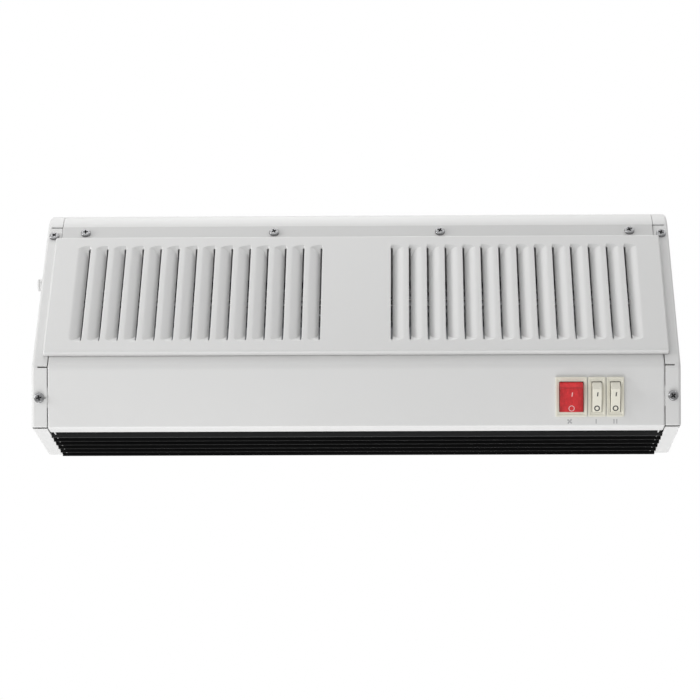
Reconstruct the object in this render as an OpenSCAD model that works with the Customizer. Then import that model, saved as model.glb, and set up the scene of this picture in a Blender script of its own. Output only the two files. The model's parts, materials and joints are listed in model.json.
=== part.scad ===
// Wall-hung heated air curtain with twin tangential fans, blowing down through a slatted outlet.
// X runs along the unit, the front faces -Y and Z is up. The origin lies on the wall plane,
// midway between the two wall screw holes.

/* [Casing] */
// Length over the two end caps
unit_length = 510; // [480:5:620]
// Depth of the underside, from the wall to the front bend
base_depth = 103; // [101:0.5:112]
// How far the front panel leans out between its lower and upper bends
front_lean = 11.5; // [9:0.5:14]
// Height of the front panel's upper bend above the underside
bend_height = 47; // [46:0.5:52]
// Distance from the wall to the top edge of the louvre panel
slope_top_depth = 44.5; // [42:0.5:52]
// Height of the casing above the underside
unit_height = 198.5; // [195:0.5:204]
// Height of the rounded top edge above the louvre panel
top_rise = 16.5; // [14:0.5:18]
// Thickness of the coated steel sheet
sheet = 1; // [0.8:0.1:1.2]
// Width of the folded flanges of the end caps
cap_flange = 12; // [11.5:0.25:14]
// Visible gap between neighbouring sheets
seam_gap = 0.6; // [0.4:0.1:0.8]
// Rounding of the upper front bend
bend_radius = 8; // [4:0.5:10]
// Rounding of the lower front bend
lower_bend_radius = 3; // [2:0.25:4]
// Width of the front panel's flange under the unit
front_return = 14.5; // [10:0.5:18]

/* [Louvre panel] */
// Width of the screwed strip above the tray
strip_width = 15.4; // [14:0.2:17]
// How far the tray stands proud of the end caps
tray_rise = 5; // [4.5:0.25:6]
// Distance from the tray's lower lip to the upper front bend
lip_above_bend = 10.6; // [9.5:0.1:13]
// How far the tray laps over each end cap's flange
tray_lap = 3.5; // [2.5:0.5:5]
// Number of louvres in each of the two groups
louvre_count = 14; // [10:1:14]
// Distance from the last louvre to the tray's end
louvre_end_margin = 21.2; // [20:0.2:40]
// Distance from the middle of the panel to the first slit
first_slit = 28.3; // [27:0.1:32]
// Distance down the slope to the louvres' upper ends
louvre_top = 28; // [26:0.5:32]
// Distance from the louvres' lower ends to the tray's lower lip
louvre_foot_margin = 12.5; // [10:0.5:20]
// Width of one louvre
louvre_width = 8; // [6:0.25:9]
// Depth of a louvre at its slit
louvre_depth = 3.6; // [3:0.1:4]
// Width of the slit between a louvre's edge and the panel
slit_width = 0.8; // [0.3:0.1:1.2]

/* [Outlet] */
// Number of fins across the outlet
fin_count = 6; // [4:1:6]
// Thickness of a fin
fin_thickness = 1.2; // [1:0.1:1.5]
// Height of a fin
fin_height = 26.5; // [22:0.5:28]
// How far the fins stand below the end caps
fin_drop = 1.5; // [0.5:0.25:2]
// Radius of the rods that tie the fins together
tie_rod_radius = 2; // [1.5:0.25:2.5]

/* [Fans and motor] */
// Distance of the fan axis from the wall
fan_depth = 40; // [39:0.5:42]
// Height of the fan axis above the underside
fan_height = 110; // [108:0.5:114]
// Outer radius of the fans
fan_radius = 25; // [22:0.5:26]
// Gap between each fan's outer end and the side plate
fan_end_gap = 11.4; // [9.5:0.1:40]
// Number of blades on one fan
blade_count = 24; // [16:1:28]
// Gap between the motor's middle plane and each fan
fan_inset = 33; // [32:0.5:40]
// Radius of the motor housing
motor_radius = 25; // [23:0.5:26]
// Length of the motor housing without its bosses
motor_length = 44; // [38:1:46]
// Radius of the motor shaft
shaft_radius = 4; // [3:0.25:4.5]
// Radius of the stub shafts at the outer ends
stub_radius = 3; // [2.5:0.25:3.5]
// Running clearance round the shafts
running_gap = 0.04; // [0.02:0.01:0.08]

/* [Heater] */
// Radius of the heater tubes
tube_radius = 4.25; // [3.5:0.25:4.5]
// Distance between neighbouring legs of a tube
tube_pitch = 14; // [12:0.5:15]
// Height of the heater tubes above the underside
heater_height = 50; // [48:0.5:54]

/* [Switches] */
// Distance from the right end of the unit to the wide switch
switch_inset = 85.8; // [83:0.2:130]
// Width of the wide switch's bezel
wide_bezel = 25.2; // [24:0.2:26]
// Width of a narrow switch's bezel
narrow_bezel = 14.3; // [14:0.1:15]
// Height of the bezels
bezel_height = 31.1; // [30.9:0.1:33]
// How far a bezel stands proud of the panel
bezel_rise = 1.8; // [1.5:0.1:2.2]
// Height of the switches' middle above the lower bend
switch_height = 23.3; // [22:0.1:24]
// Half the angle that a rocker tips through
rocker_tilt = 14; // [10:0.5:14]

/* [Fastenings] */
// Radius of a pan head
head_radius = 4; // [3.5:0.25:4.25]
// Radius of a screw shank
shank_radius = 1.9; // [1.5:0.1:2]
// Distance of the wall screws from the ends of the unit
wall_screw_inset = 75; // [70:1:105]
// Radius of the wall screw holes in the bracket
wall_hole_radius = 2.75; // [2.25:0.25:3]
// Distance of the wall screws below the top of the casing
hang_drop = 43.5; // [40:0.5:46]
// Thickness of the wall bracket
bracket_sheet = 2; // [1.5:0.25:2]
// Radius of the cable bush's bore
cable_radius = 3.5; // [3:0.25:4.5]
// Distance of the cable bush from the wall
bush_depth = 45; // [40:0.5:50]
// Height of the cable bush above the underside
bush_height = 133; // [123:1:140]

/* [Hidden] */
$fn = 64;

coat = "#f1f1ef";
zinc = "#c9ccd0";
black_coat = "#1d1e1f";
ivory = "#ebe9da";
rubber = "#2b2b2c";
copper = "#b8763f";
eps = 0.01;

// --- Derived places. Section points are [y, z] pairs, measured from the wall and the underside.
half_length = unit_length / 2;
casing_half = half_length - cap_flange - seam_gap;
slope_top_height = unit_height - top_rise;
hang_height = unit_height - hang_drop;
lower_bend = [-base_depth, 0];
upper_bend = [-base_depth - front_lean, bend_height];
slope_top = [-slope_top_depth, slope_top_height];
slope_angle = atan2(slope_top[1] - upper_bend[1], slope_top[0] - upper_bend[0]);
front_angle = atan2(upper_bend[1], upper_bend[0] - lower_bend[0]);
up_slope = [cos(slope_angle), sin(slope_angle)];
off_slope = [-sin(slope_angle), cos(slope_angle)];
slope_length = norm(slope_top - upper_bend);
top_radius = top_rise / (1 - cos(slope_angle));
top_corner = slope_top + up_slope * top_radius * tan(slope_angle / 2);
back_radius = 1.5;
back_gap = bracket_sheet;
back_inner = back_gap + sheet;
side_plate_gap = 2.5;
side_plate_out = casing_half - side_plate_gap;
side_plate_in = side_plate_out - sheet;
seat_gap = 0.2;
tray_half = casing_half + seam_gap + tray_lap;
tray_end = slope_length - lip_above_bend;
louvre_length = tray_end - louvre_top - louvre_foot_margin;
louvre_pitch = (tray_half - first_slit - louvre_width - louvre_end_margin) / (louvre_count - 1);
fan_length = side_plate_in - fan_inset - fan_end_gap;
wide_switch_x = half_length - switch_inset;
wall_screw_span = unit_length - 2 * wall_screw_inset;
fan_axis = [-fan_depth, fan_height];
fin_top = fin_height - fin_drop;
last_fin = back_inner + 0.3 + fin_thickness / 2;
fin_pitch = (base_depth - front_return - last_fin) / fin_count;

// --- Plane geometry
function unit(v) = v / norm(v);
function wrap(k, n) = (k + n) % n;
function cross2(a, b) = a[0] * b[1] - a[1] * b[0];
function line_meet(p, d, q, e) = p + d * cross2(q - p, e) / cross2(d, e);
function right_of(v) = [v[1], -v[0]];

// Moves every edge of a clockwise outline inwards by d
function inset(points, d) = let (n = len(points)) [
    for (k = [0 : n - 1])
        let (
            before = unit(points[k] - points[wrap(k - 1, n)]),
            after = unit(points[wrap(k + 1, n)] - points[k])
        )
        line_meet(points[k] + right_of(before) * d, before, points[k] + right_of(after) * d, after)
];

// Points of the arc that rounds corner p between its neighbours a and b
function corner_arc(a, p, b, r, steps) = let (
    to_a = unit(a - p),
    to_b = unit(b - p),
    half = acos(to_a * to_b) / 2,
    centre = p + unit(to_a + to_b) * r / sin(half),
    start = p + to_a * r / tan(half) - centre,
    finish = p + to_b * r / tan(half) - centre,
    from = atan2(start[1], start[0]),
    turn = atan2(finish[1], finish[0]) - from,
    sweep = turn > 180 ? turn - 360 : turn < -180 ? turn + 360 : turn
) [for (k = [0 : steps]) centre + r * [cos(from + sweep * k / steps), sin(from + sweep * k / steps)]];

// Rounds each corner of an outline by its own radius
function rounded(points, radii, steps = 6) = let (n = len(points)) [
    for (k = [0 : n - 1])
        let (arc = radii[k] < 0.05 ? [points[k]]
            : corner_arc(points[wrap(k - 1, n)], points[k], points[wrap(k + 1, n)], radii[k], steps))
        for (q = arc) q
];

// Outline of a bent sheet of thickness t to the right of an open path
function ribbon(path, t) = let (
    n = len(path),
    far = [
        for (k = [0 : n - 1])
            let (
                before = unit(k > 0 ? path[k] - path[k - 1] : path[1] - path[0]),
                after = unit(k < n - 1 ? path[k + 1] - path[k] : path[k] - path[k - 1]),
                straight = abs(cross2(before, after)) < 1e-6
            )
            straight ? path[k] + right_of(after) * t
                : line_meet(path[k] + right_of(before) * t, before, path[k] + right_of(after) * t, after)
    ]
) concat(path, [for (k = [n - 1 : -1 : 0]) far[k]]);

// --- Placing
// Lowers everything so that the origin is at the wall screws
module hung() {
    translate([0, 0, -hang_height]) children();
}

// Extrudes a [y, z] outline along X
module along_x(from, to) {
    translate([from, 0, 0]) rotate([90, 0, 90]) linear_extrude(to - from) children();
}

// A rod or disc along X
module bar_x(from, to, r) {
    translate([from, 0, 0]) rotate([0, 90, 0]) cylinder(h = to - from, r = r);
}

module box(low, high) {
    translate(low) cube(high - low);
}

// Local X along the unit, Y up the louvre panel from its top edge, Z out of it
module on_slope() {
    translate([0, slope_top[0], slope_top[1]]) rotate([slope_angle, 0, 0]) children();
}

// Local X along the unit, Y up the front panel from its lower bend, Z out of it
module on_front() {
    translate([0, lower_bend[0], lower_bend[1]]) rotate([front_angle, 0, 0]) children();
}

// Local origin on the fan axis
module on_fan_axis() {
    translate([0, fan_axis[0], fan_axis[1]]) children();
}

module both_ends() {
    children();
    mirror([1, 0, 0]) children();
}

// --- The casing's section
function section(back) = [
    [-back, 0], lower_bend, upper_bend, top_corner, [-back, unit_height]
];

module section_outline(depth, back = 0) {
    radii = [0, lower_bend_radius, bend_radius, top_radius, back_radius];
    polygon(rounded(inset(section(back), depth), [for (r = radii) max(r - depth, 0)], 10));
}

module section_band(depth, back = 0) {
    difference() {
        section_outline(0, back);
        section_outline(depth, back);
    }
}

slot_w = 28;
slot_h = 13;
hook_x = wall_screw_span / 3;
hook_top = hang_height - 3;
wall_screw_clearance = 6;
support_width = strip_width - 0.6;

// Back, top and rounded front edge in one bent sheet, with a set-back support for the louvre panel
module rear_casing() {
    below_strip = [
        slope_top, [-back_inner - 3, slope_top_height - 25], [-back_inner - 3, 5],
        [-back_inner, 5], [-back_inner, -20], [-300, -20], [-300, 300], slope_top + off_slope * 60
    ];
    color(coat) hung() {
        difference() {
            along_x(-casing_half, casing_half) difference() {
                section_band(sheet, back_gap);
                polygon(below_strip);
            }
            // slots for the bracket's hooks, and room for the wall screws' heads
            for (side = [-1, 1]) {
                translate([side * hook_x - slot_w / 2, -back_inner - 1, hook_top - slot_h])
                    cube([slot_w, sheet + 2, slot_h]);
                translate([side * wall_screw_span / 2, -back_gap + 1, hang_height])
                    rotate([90, 0, 0]) cylinder(h = sheet + 2, r = wall_screw_clearance);
            }
        }
        on_slope() difference() {
            box([-side_plate_in + 2, -support_width, -2 * sheet], [side_plate_in - 2, 3, -sheet]);
            strip_screw_places() cylinder(h = 10, r = shank_radius + 0.05, center = true);
        }
    }
}

strip_screw_inset = 16.9;
strip_screw_reach = casing_half - strip_screw_inset;
strip_screw_x = [strip_screw_reach * 0.305, strip_screw_reach];
strip_screw_s = strip_width / 2 - 0.1;
module strip_screw_places() {
    for (side = [-1, 1])
        for (x = strip_screw_x)
            translate([side * x, -strip_screw_s, 0]) children();
}

// --- Louvre panel
tray_foot = 0.3;
tray_corner = 1.6;
lip_radius = tray_rise - tray_foot - 0.6;

// Ramps of one group of louvres, across the panel: [x, z]
module louvre_ramps() {
    for (k = [0 : louvre_count - 1])
        let (x = -first_slit - k * louvre_pitch, top = tray_rise)
            polygon([
                [x - louvre_width - 0.6, top], [x - louvre_width, top],
                [x - slit_width, top - louvre_depth], [x - slit_width, top - louvre_depth - 0.8 * sheet],
                [x - louvre_width - 0.6, top - sheet]
            ]);
}

// Walls that close the upper and lower ends of the louvres
module louvre_ends() {
    for (k = [0 : louvre_count - 1])
        let (x = -first_slit - k * louvre_pitch, top = tray_rise)
            polygon([
                [x - louvre_width, top], [x + 0.4, top], [x + 0.4, top - sheet],
                [x - slit_width, top - louvre_depth - 0.8 * sheet], [x - louvre_width - 0.6, top - sheet]
            ]);
}

module louvre_slots() {
    for (k = [0 : louvre_count - 1])
        box([-first_slit - k * louvre_pitch - louvre_width, -louvre_top - louvre_length, 0],
            [-first_slit - k * louvre_pitch, -louvre_top, tray_rise + 1]);
}

module tray_outline(extra) {
    polygon(rounded(
        [
            [-tray_end + extra, tray_foot - extra * 4], [-tray_end + extra, tray_rise - extra],
            [-strip_width - extra, tray_rise - extra], [-strip_width - extra, tray_foot - extra * 4]
        ],
        [0, lip_radius - extra, tray_corner - extra, 0]
    ));
}

// Raised tray with pressed louvres, and the screwed strip above it
module louvre_panel() {
    color(coat) hung() on_slope() {
        difference() {
            union() {
                along_x(-tray_half, tray_half) difference() {
                    tray_outline(0);
                    tray_outline(sheet);
                }
                along_x(-tray_half, -tray_half + sheet) tray_outline(0);
                along_x(tray_half - sheet, tray_half) tray_outline(0);
                box([-casing_half, -strip_width - sheet, -sheet], [casing_half, -seam_gap, 0]);
                box([-casing_half, -strip_width - sheet, -sheet],
                    [casing_half, -strip_width, tray_foot + 1]);
                // lower return, lying on the front panel
                box([-casing_half + 1, -tray_end + sheet / 2, tray_foot],
                    [casing_half - 1, -tray_end + 9, tray_foot + sheet]);
            }
            both_ends() louvre_slots();
            strip_screw_places() cylinder(h = 4 * sheet, r = shank_radius + 0.3, center = true);
        }
        both_ends() {
            translate([0, -louvre_top, 0]) rotate([90, 0, 0]) linear_extrude(louvre_length)
                louvre_ramps();
            translate([0, -louvre_top + sheet / 2, 0]) rotate([90, 0, 0]) linear_extrude(sheet)
                louvre_ends();
            translate([0, -louvre_top - louvre_length + sheet / 2, 0]) rotate([90, 0, 0])
                linear_extrude(sheet) louvre_ends();
        }
    }
}

// Guard wires close behind the louvres, held in the side plates: distance down the slope, depth
guard_radius = 0.7;
guard_places = [[79, -4], [85, -4]];
module guard_rods(end, r) {
    on_slope() for (p = guard_places) translate([0, -p[0], p[1]]) bar_x(-end, end, r);
}

module guard_wires() {
    color(zinc) hung() guard_rods(side_plate_out + 1, guard_radius);
}

// --- Front panel
front_overlap = 24;
side_return = 9;
cutout_height = bezel_height - 1.9;
housing_height = cutout_height - 0.4;
housing_trim = 3;

module front_region() {
    up_end = upper_bend + up_slope * front_overlap;
    polygon([
        up_end + off_slope * 30, up_end - off_slope * 5, [-base_depth + front_return, sheet + 5],
        [-base_depth + front_return, -20], [-300, -20], [-300, 120]
    ]);
}

narrow_one_x = wide_switch_x + (wide_bezel + narrow_bezel) / 2 + 0.15;
narrow_two_x = narrow_one_x + narrow_bezel + 0.15;
switch_x = [wide_switch_x, narrow_one_x, narrow_two_x];
switch_w = [wide_bezel, narrow_bezel, narrow_bezel];

module front_panel() {
    color(coat) hung() difference() {
        union() {
            along_x(-casing_half, casing_half) intersection() {
                section_band(sheet);
                front_region();
            }
            both_ends() along_x(-casing_half, -casing_half + sheet) intersection() {
                section_band(side_return);
                front_region();
            }
        }
        on_front() for (k = [0 : 2])
            translate([switch_x[k], switch_height, 0])
                cube([switch_w[k] - housing_trim + 0.4, cutout_height, 8], center = true);
        // notches in the side returns, round the side plates' tabs
        both_ends() on_front() translate([-casing_half, cap_screw_rise, 0])
            box([-1, -tab_half - seat_gap, -side_return - 1], [sheet + 1, tab_half + seat_gap, -sheet - eps]);
    }
}

// --- End caps
cap_screw_inset = 6.2;
cap_screw_s = 10;
cap_screw_rise = 24;
slit_start = 2.2;

// Thin cut across a flange, at a place on the section
module flange_slit(place, direction) {
    along = atan2(direction[1], direction[0]);
    translate([0, place[0], place[1]]) rotate([along, 0, 0])
        box([-half_length + slit_start, -4, -seam_gap / 2], [-casing_half, 4, seam_gap / 2]);
}

module cap_screw_places() {
    on_slope() translate([-half_length + cap_screw_inset, -cap_screw_s, 0]) children();
    on_front() translate([-half_length + cap_screw_inset, cap_screw_rise, 0]) children();
}

// Left cap, with its flanges folded inwards round the section
module end_cap() {
    difference() {
        along_x(-half_length, -half_length + cap_flange) section_outline(0);
        along_x(-half_length + sheet, -casing_half) section_outline(sheet);
        flange_slit(slope_top, off_slope);
        flange_slit(upper_bend, unit([-1, 0.15]));
        flange_slit(lower_bend, unit([-1, -0.4]));
        cap_screw_places() cylinder(h = 8, r = shank_radius + 0.3, center = true);
    }
}

module left_end_cap() {
    color(coat) hung() difference() {
        end_cap();
        translate([-half_length, -bush_depth, bush_height])
            bar_x(-2, sheet + 2, cable_radius + 2.1);
        on_front() translate([-half_length + cap_screw_inset + 5, cap_screw_rise, 0])
            cylinder(h = 8, r = 1, center = true);
    }
}

module right_end_cap() {
    color(coat) hung() mirror([1, 0, 0]) end_cap();
}

// --- Inner side plates, which carry the fans, the fins and the caps' screws
tab_half = 8;
tab_end_gap = 1;
tab_top = cap_flange + side_plate_gap - tab_end_gap;
plate_hole_radius = 11.1;

module side_plate() {
    difference() {
        union() {
            along_x(-side_plate_out, -side_plate_in) difference() {
                section_outline(sheet + seat_gap / 2, back_gap);
                polygon([
                    slope_top + up_slope * 6 - off_slope * (2 * sheet + seat_gap),
                    slope_top - up_slope * (support_width + 3) - off_slope * (2 * sheet + seat_gap),
                    slope_top - up_slope * (support_width + 3) + off_slope * 9,
                    slope_top + up_slope * 6 + off_slope * 9
                ]);
            }
            cap_tab_places()
                box([0, -tab_half, -2 * sheet - 4], [tab_top, tab_half, -sheet - seat_gap / 2]);
        }
        // hollow under each tab, so that the tab is a bent sheet
        cap_tab_places()
            box([sheet, -tab_half - 1, -2 * sheet - 5],
                [tab_top + 1, tab_half + 1, -2 * sheet - seat_gap / 2]);
        cap_screw_places() cylinder(h = 12, r = shank_radius + 0.05, center = true);
        on_fan_axis() bar_x(-side_plate_out - 1, -side_plate_in + 1, plate_hole_radius);
        guard_rods(half_length, guard_radius + 0.05);
        for (k = [0 : fin_count - 1])
            translate([-side_plate_out - 1, -last_fin - k * fin_pitch - fin_thickness / 2 - 0.15, -1])
                cube([sheet + 2, fin_thickness + 0.3, fin_top + 1.3]);
    }
}

module cap_tab_places() {
    on_slope() translate([-side_plate_out, -cap_screw_s, 0]) mirror([1, 0, 0]) translate([-sheet, 0, 0])
        children();
    on_front() translate([-side_plate_out, cap_screw_rise, 0]) mirror([1, 0, 0]) translate([-sheet, 0, 0])
        children();
}

module left_side_plate() {
    color(coat) hung() side_plate();
}

module right_side_plate() {
    color(coat) hung() mirror([1, 0, 0]) side_plate();
}

// --- Wall bracket: a strip with two hooks that the casing hangs on
bracket_half_height = 12;
bracket_end = 14;
hook_half_width = 11;
hook_reach = 0.6;
hook_leg = 7;

module wall_bracket() {
    hook_bottom = hook_top - 2;
    leg_back = -back_inner - hook_reach;
    color(zinc) hung() difference() {
        union() {
            box([-wall_screw_span / 2 - bracket_end, -bracket_sheet, hang_height - bracket_half_height],
                [wall_screw_span / 2 + bracket_end, 0, hang_height + bracket_half_height]);
            for (side = [-1, 1])
                translate([side * hook_x, 0, 0]) {
                    box([-hook_half_width, leg_back - 2, hook_bottom],
                        [hook_half_width, -bracket_sheet + eps, hook_top - 0.1]);
                    box([-hook_half_width, leg_back - 2, hook_bottom],
                        [hook_half_width, leg_back, hook_top + hook_leg]);
                }
        }
        for (side = [-1, 1])
            translate([side * wall_screw_span / 2, 1, hang_height]) rotate([90, 0, 0])
                cylinder(h = bracket_sheet + 2, r = wall_hole_radius);
    }
}

// --- Outlet
rod_x = casing_half * 0.46;
rod_z = fin_top - 5;
fin_half = casing_half + 0.3;

function fin_y(k) = -last_fin - k * fin_pitch;

module outlet_fins() {
    color(black_coat) hung() difference() {
        for (k = [0 : fin_count - 1])
            along_x(-fin_half, fin_half) translate([fin_y(k), 0]) polygon(rounded(
                [
                    [fin_thickness / 2, -fin_drop], [-fin_thickness / 2, -fin_drop],
                    [-fin_thickness / 2, fin_top], [fin_thickness / 2, fin_top]
                ],
                [0.45, 0.45, 0, 0], 4
            ));
        for (side = [-1, 1])
            translate([side * rod_x, 0, rod_z]) rotate([90, 0, 0])
                cylinder(h = base_depth, r = tie_rod_radius + 0.05);
    }
}

module fin_tie_rods() {
    rod_end = -fin_y(fin_count - 1) + fin_thickness / 2;
    color(zinc) hung() for (side = [-1, 1])
        translate([side * rod_x, -back_inner - 0.1, rod_z]) rotate([90, 0, 0]) {
            cylinder(h = rod_end - back_inner + 0.2, r = tie_rod_radius);
            translate([0, 0, rod_end - back_inner + 0.1]) cylinder(h = 1.5, r = tie_rod_radius + 1.5);
        }
}

module fin_spacers() {
    color(black_coat) hung() for (side = [-1, 1])
        for (k = [0 : fin_count - 2])
            translate([side * rod_x, fin_y(k) - fin_thickness / 2 - 0.05, rod_z]) rotate([90, 0, 0])
                difference() {
                    cylinder(h = fin_pitch - fin_thickness - 0.1, r = tie_rod_radius + 1.6);
                    translate([0, 0, -1]) cylinder(h = fin_pitch, r = tie_rod_radius + 0.1);
                }
}

// --- Air path inside
guide_sheet = 0.8;
guide_start = 75;
guide_gap = 9;
guide_growth = 4;
guide_foot = fin_top + 8;
guide_steps = 12;

function guide_radius(a) = fan_radius + guide_gap - guide_growth * a / guide_start;

module scroll_guide() {
    back_y = fan_axis[0] + guide_radius(0);
    bend = [
        for (k = [0 : guide_steps])
            let (a = guide_start * (1 - k / guide_steps))
                fan_axis + guide_radius(a) * [cos(a), sin(a)]
    ];
    foot_y = -back_inner - guide_sheet - seat_gap / 2;
    path = concat(bend, [[back_y, guide_foot], [foot_y, guide_foot - 3], [foot_y, fin_top + 0.5]]);
    reversed = [for (k = [len(path) - 1 : -1 : 0]) path[k]];
    along_x(-side_plate_in + 0.1, -fan_inset) polygon(ribbon(reversed, guide_sheet));
}

module left_scroll_guide() {
    color(zinc) hung() scroll_guide();
}

module right_scroll_guide() {
    color(zinc) hung() mirror([1, 0, 0]) scroll_guide();
}

tongue_gap = 3.5;
tongue_angle = 220;
tongue_lip = 6;
tongue_tip = fan_axis + (fan_radius + tongue_gap) * [cos(tongue_angle), sin(tongue_angle)];
duct_foot = [-base_depth + front_return, sheet + seat_gap / 2];
duct_foot_width = 7;

// Front wall of the air path: a stabiliser lip at the fans, and a foot on the front panel's flange
module duct_front_plate() {
    path = [
        tongue_tip + tongue_lip * [-0.7, 0.7], tongue_tip, duct_foot, duct_foot - [duct_foot_width, 0]
    ];
    color(zinc) hung() along_x(-side_plate_in + 0.1, side_plate_in - 0.1)
        polygon(ribbon(path, sheet));
}

// --- Fans
fan_bore = fan_radius * 0.76;
blade_half = 0.35;
disc = 1.2;
hub_radius = 9;
hub_length = 11;
blade_sweep = 16;
fan_cells = 4;

function blade_point(t, side) = let (
    r = fan_bore + (fan_radius - 0.5 - fan_bore) * t,
    a = blade_sweep * pow(t, 1.5) + side * blade_half / r * 180 / PI
) r * [cos(a), sin(a)];

module blades() {
    steps = 4;
    for (k = [0 : blade_count - 1]) rotate(k * 360 / blade_count)
        polygon(concat(
            [for (i = [0 : steps]) blade_point(i / steps, -1)],
            [for (i = [steps : -1 : 0]) blade_point(i / steps, 1)]
        ));
}

// Left fan: end discs with hubs, rings between, and a cage of blades
module fan() {
    inner = -fan_inset;
    outer = -fan_inset - fan_length;
    on_fan_axis() difference() {
        union() {
            along_x(outer + disc / 2, inner - disc / 2) blades();
            bar_x(inner - disc, inner, fan_radius);
            bar_x(outer, outer + disc, fan_radius);
            bar_x(inner - hub_length, inner, hub_radius);
            bar_x(outer, outer + hub_length, hub_radius);
            for (k = [1 : fan_cells - 1])
                let (x = outer + k * fan_length / fan_cells) difference() {
                    bar_x(x - disc / 3, x + disc / 3, fan_radius);
                    bar_x(x - disc, x + disc, fan_bore - 1.5);
                }
        }
        bar_x(inner - hub_length - 1, inner + 1, shaft_radius + 0.02);
        bar_x(outer - 1, outer + hub_length + 1, stub_radius + 0.02);
    }
}

module left_fan() {
    color("#3b4046") hung() fan();
}

module right_fan() {
    color("#3b4046") hung() mirror([1, 0, 0]) fan();
}

stub_out = side_plate_out + 5;
module stub_shafts() {
    color(zinc) hung() both_ends() on_fan_axis()
        bar_x(-stub_out, -fan_inset - fan_length + hub_length, stub_radius);
}

module fan_hub_screws() {
    x = fan_inset + hub_length / 2;
    color(zinc) hung() on_fan_axis() both_ends()
        translate([-x, 0, hub_radius + eps]) cylinder(h = 2.5, r = shank_radius);
}

// --- Motor
housing_wall = 1.5;
boss_radius = 8;
boss_length = 7;
bearing_radius = shaft_radius + 1.5;
stator_radius = motor_radius - housing_wall;
rotor_radius = 12;
stack_length = 24;
air_gap = 0.4;
boss_end = motor_length / 2 + boss_length;

module motor_shaft() {
    color(zinc) hung() on_fan_axis()
        bar_x(-fan_inset - hub_length, fan_inset + hub_length, shaft_radius);
}

module motor_rotor() {
    color("#8d9196") hung() on_fan_axis() difference() {
        bar_x(-stack_length / 2 - 1, stack_length / 2 + 1, rotor_radius);
        bar_x(-stack_length, stack_length, shaft_radius + 0.02);
    }
}

module motor_housing() {
    color("#b9bcc0") hung() on_fan_axis() difference() {
        union() {
            bar_x(-motor_length / 2, motor_length / 2, motor_radius);
            bar_x(-boss_end, boss_end, boss_radius);
        }
        bar_x(-motor_length / 2 + housing_wall, motor_length / 2 - housing_wall, stator_radius);
        bar_x(-boss_end - 1, boss_end + 1, bearing_radius + 0.02);
    }
}

module motor_stator() {
    color("#777b80") hung() on_fan_axis() difference() {
        bar_x(-stack_length / 2, stack_length / 2, stator_radius - 0.05);
        bar_x(-stack_length, stack_length, rotor_radius + air_gap);
    }
}

module motor_windings() {
    color(copper) hung() on_fan_axis() both_ends() difference() {
        bar_x(-stack_length / 2 - 6, -stack_length / 2 - 0.1, stator_radius - 2);
        bar_x(-stack_length, 0, rotor_radius + 2);
    }
}

module motor_bearings() {
    color("#9a8350") hung() on_fan_axis() both_ends() difference() {
        bar_x(-boss_end + 0.5, -motor_length / 2, bearing_radius);
        bar_x(-boss_end - 1, 0, shaft_radius + running_gap);
    }
}

ring_half = 2.5;
ring_rim = 1.5;
ring_hole = 11;

// Rubber ring with a groove for a plate of thickness t, centred at x
module grooved_ring(x, bore, t) {
    difference() {
        bar_x(x - ring_half, x + ring_half, ring_hole + ring_rim);
        difference() {
            bar_x(x - t / 2 - 0.05, x + t / 2 + 0.05, ring_hole + ring_rim + 1);
            bar_x(x - t, x + t, ring_hole);
        }
        bar_x(x - ring_half - 1, x + ring_half + 1, bore);
    }
}

ear_sheet = 1.2;
ear_x = motor_length / 2 + boss_length / 2 + 0.3;

module motor_rubber_rings() {
    color(rubber) hung() on_fan_axis() both_ends() grooved_ring(-ear_x, boss_radius + 0.05, ear_sheet);
}

base_half = 16;
ear_radius = 15;

module motor_bracket() {
    low = fan_height - 13;
    high = fan_height + 13;
    color(zinc) hung() difference() {
        union() {
            box([-ear_x - ear_sheet / 2, -back_inner - ear_sheet, low - base_half],
                [ear_x + ear_sheet / 2, -back_inner, high + base_half]);
            for (side = [-1, 1]) {
                from = side * ear_x - ear_sheet / 2;
                to = side * ear_x + ear_sheet / 2;
                box([from, -fan_depth, low], [to, -back_inner, high]);
                on_fan_axis() bar_x(from, to, ear_radius);
            }
        }
        on_fan_axis() bar_x(-boss_end - 1, boss_end + 1, plate_hole_radius);
        // the base clears the motor's housing
        on_fan_axis() bar_x(-motor_length / 2 - 0.5, motor_length / 2 + 0.5, motor_radius + 0.5);
        bracket_screw_places() cylinder(h = 6, r = shank_radius + 0.1, center = true);
    }
}

module bracket_screw_places() {
    for (side = [-1, 1])
        translate([0, -back_inner - ear_sheet, fan_height + side * (13 + base_half / 2)])
            rotate([90, 0, 0]) children();
}

module motor_bracket_screws() {
    color(zinc) hung() bracket_screw_places() {
        cylinder(h = 2, r = head_radius - 0.5);
        translate([0, 0, -ear_sheet + 0.1]) cylinder(h = ear_sheet, r = shank_radius);
    }
}

plate_mid = (side_plate_in + side_plate_out) / 2;
bush_outer = 7.45;

module end_bearings() {
    color("#9a8350") hung() on_fan_axis() both_ends() difference() {
        bar_x(-plate_mid - 4, -plate_mid + 4, bush_outer);
        bar_x(-plate_mid - 5, -plate_mid + 5, stub_radius + running_gap);
    }
}

module bearing_rubber_rings() {
    color(rubber) hung() on_fan_axis() both_ends() grooved_ring(-plate_mid, bush_outer + 0.05, sheet);
}

// --- Heater
hairpin_bend = tube_pitch / 2;
tube_start = side_plate_in - 8;
tube_turn = side_plate_in - 22;
first_leg = -fan_axis[0] - 1.5 * tube_pitch - 5;

// y of heater leg k, from the wall side outwards
function leg_y(k) = -first_leg - k * tube_pitch;

module hairpin(k) {
    for (i = [0, 1])
        translate([0, leg_y(k + i), heater_height]) bar_x(-tube_start, tube_turn, tube_radius);
    translate([tube_turn, (leg_y(k) + leg_y(k + 1)) / 2, heater_height]) rotate([0, 0, -90])
        rotate_extrude(angle = 180) translate([hairpin_bend, 0]) circle(r = tube_radius);
}

module heater_tubes() {
    color("#6d6f70") hung() {
        hairpin(0);
        hairpin(2);
    }
}

board_half = 12;

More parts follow.
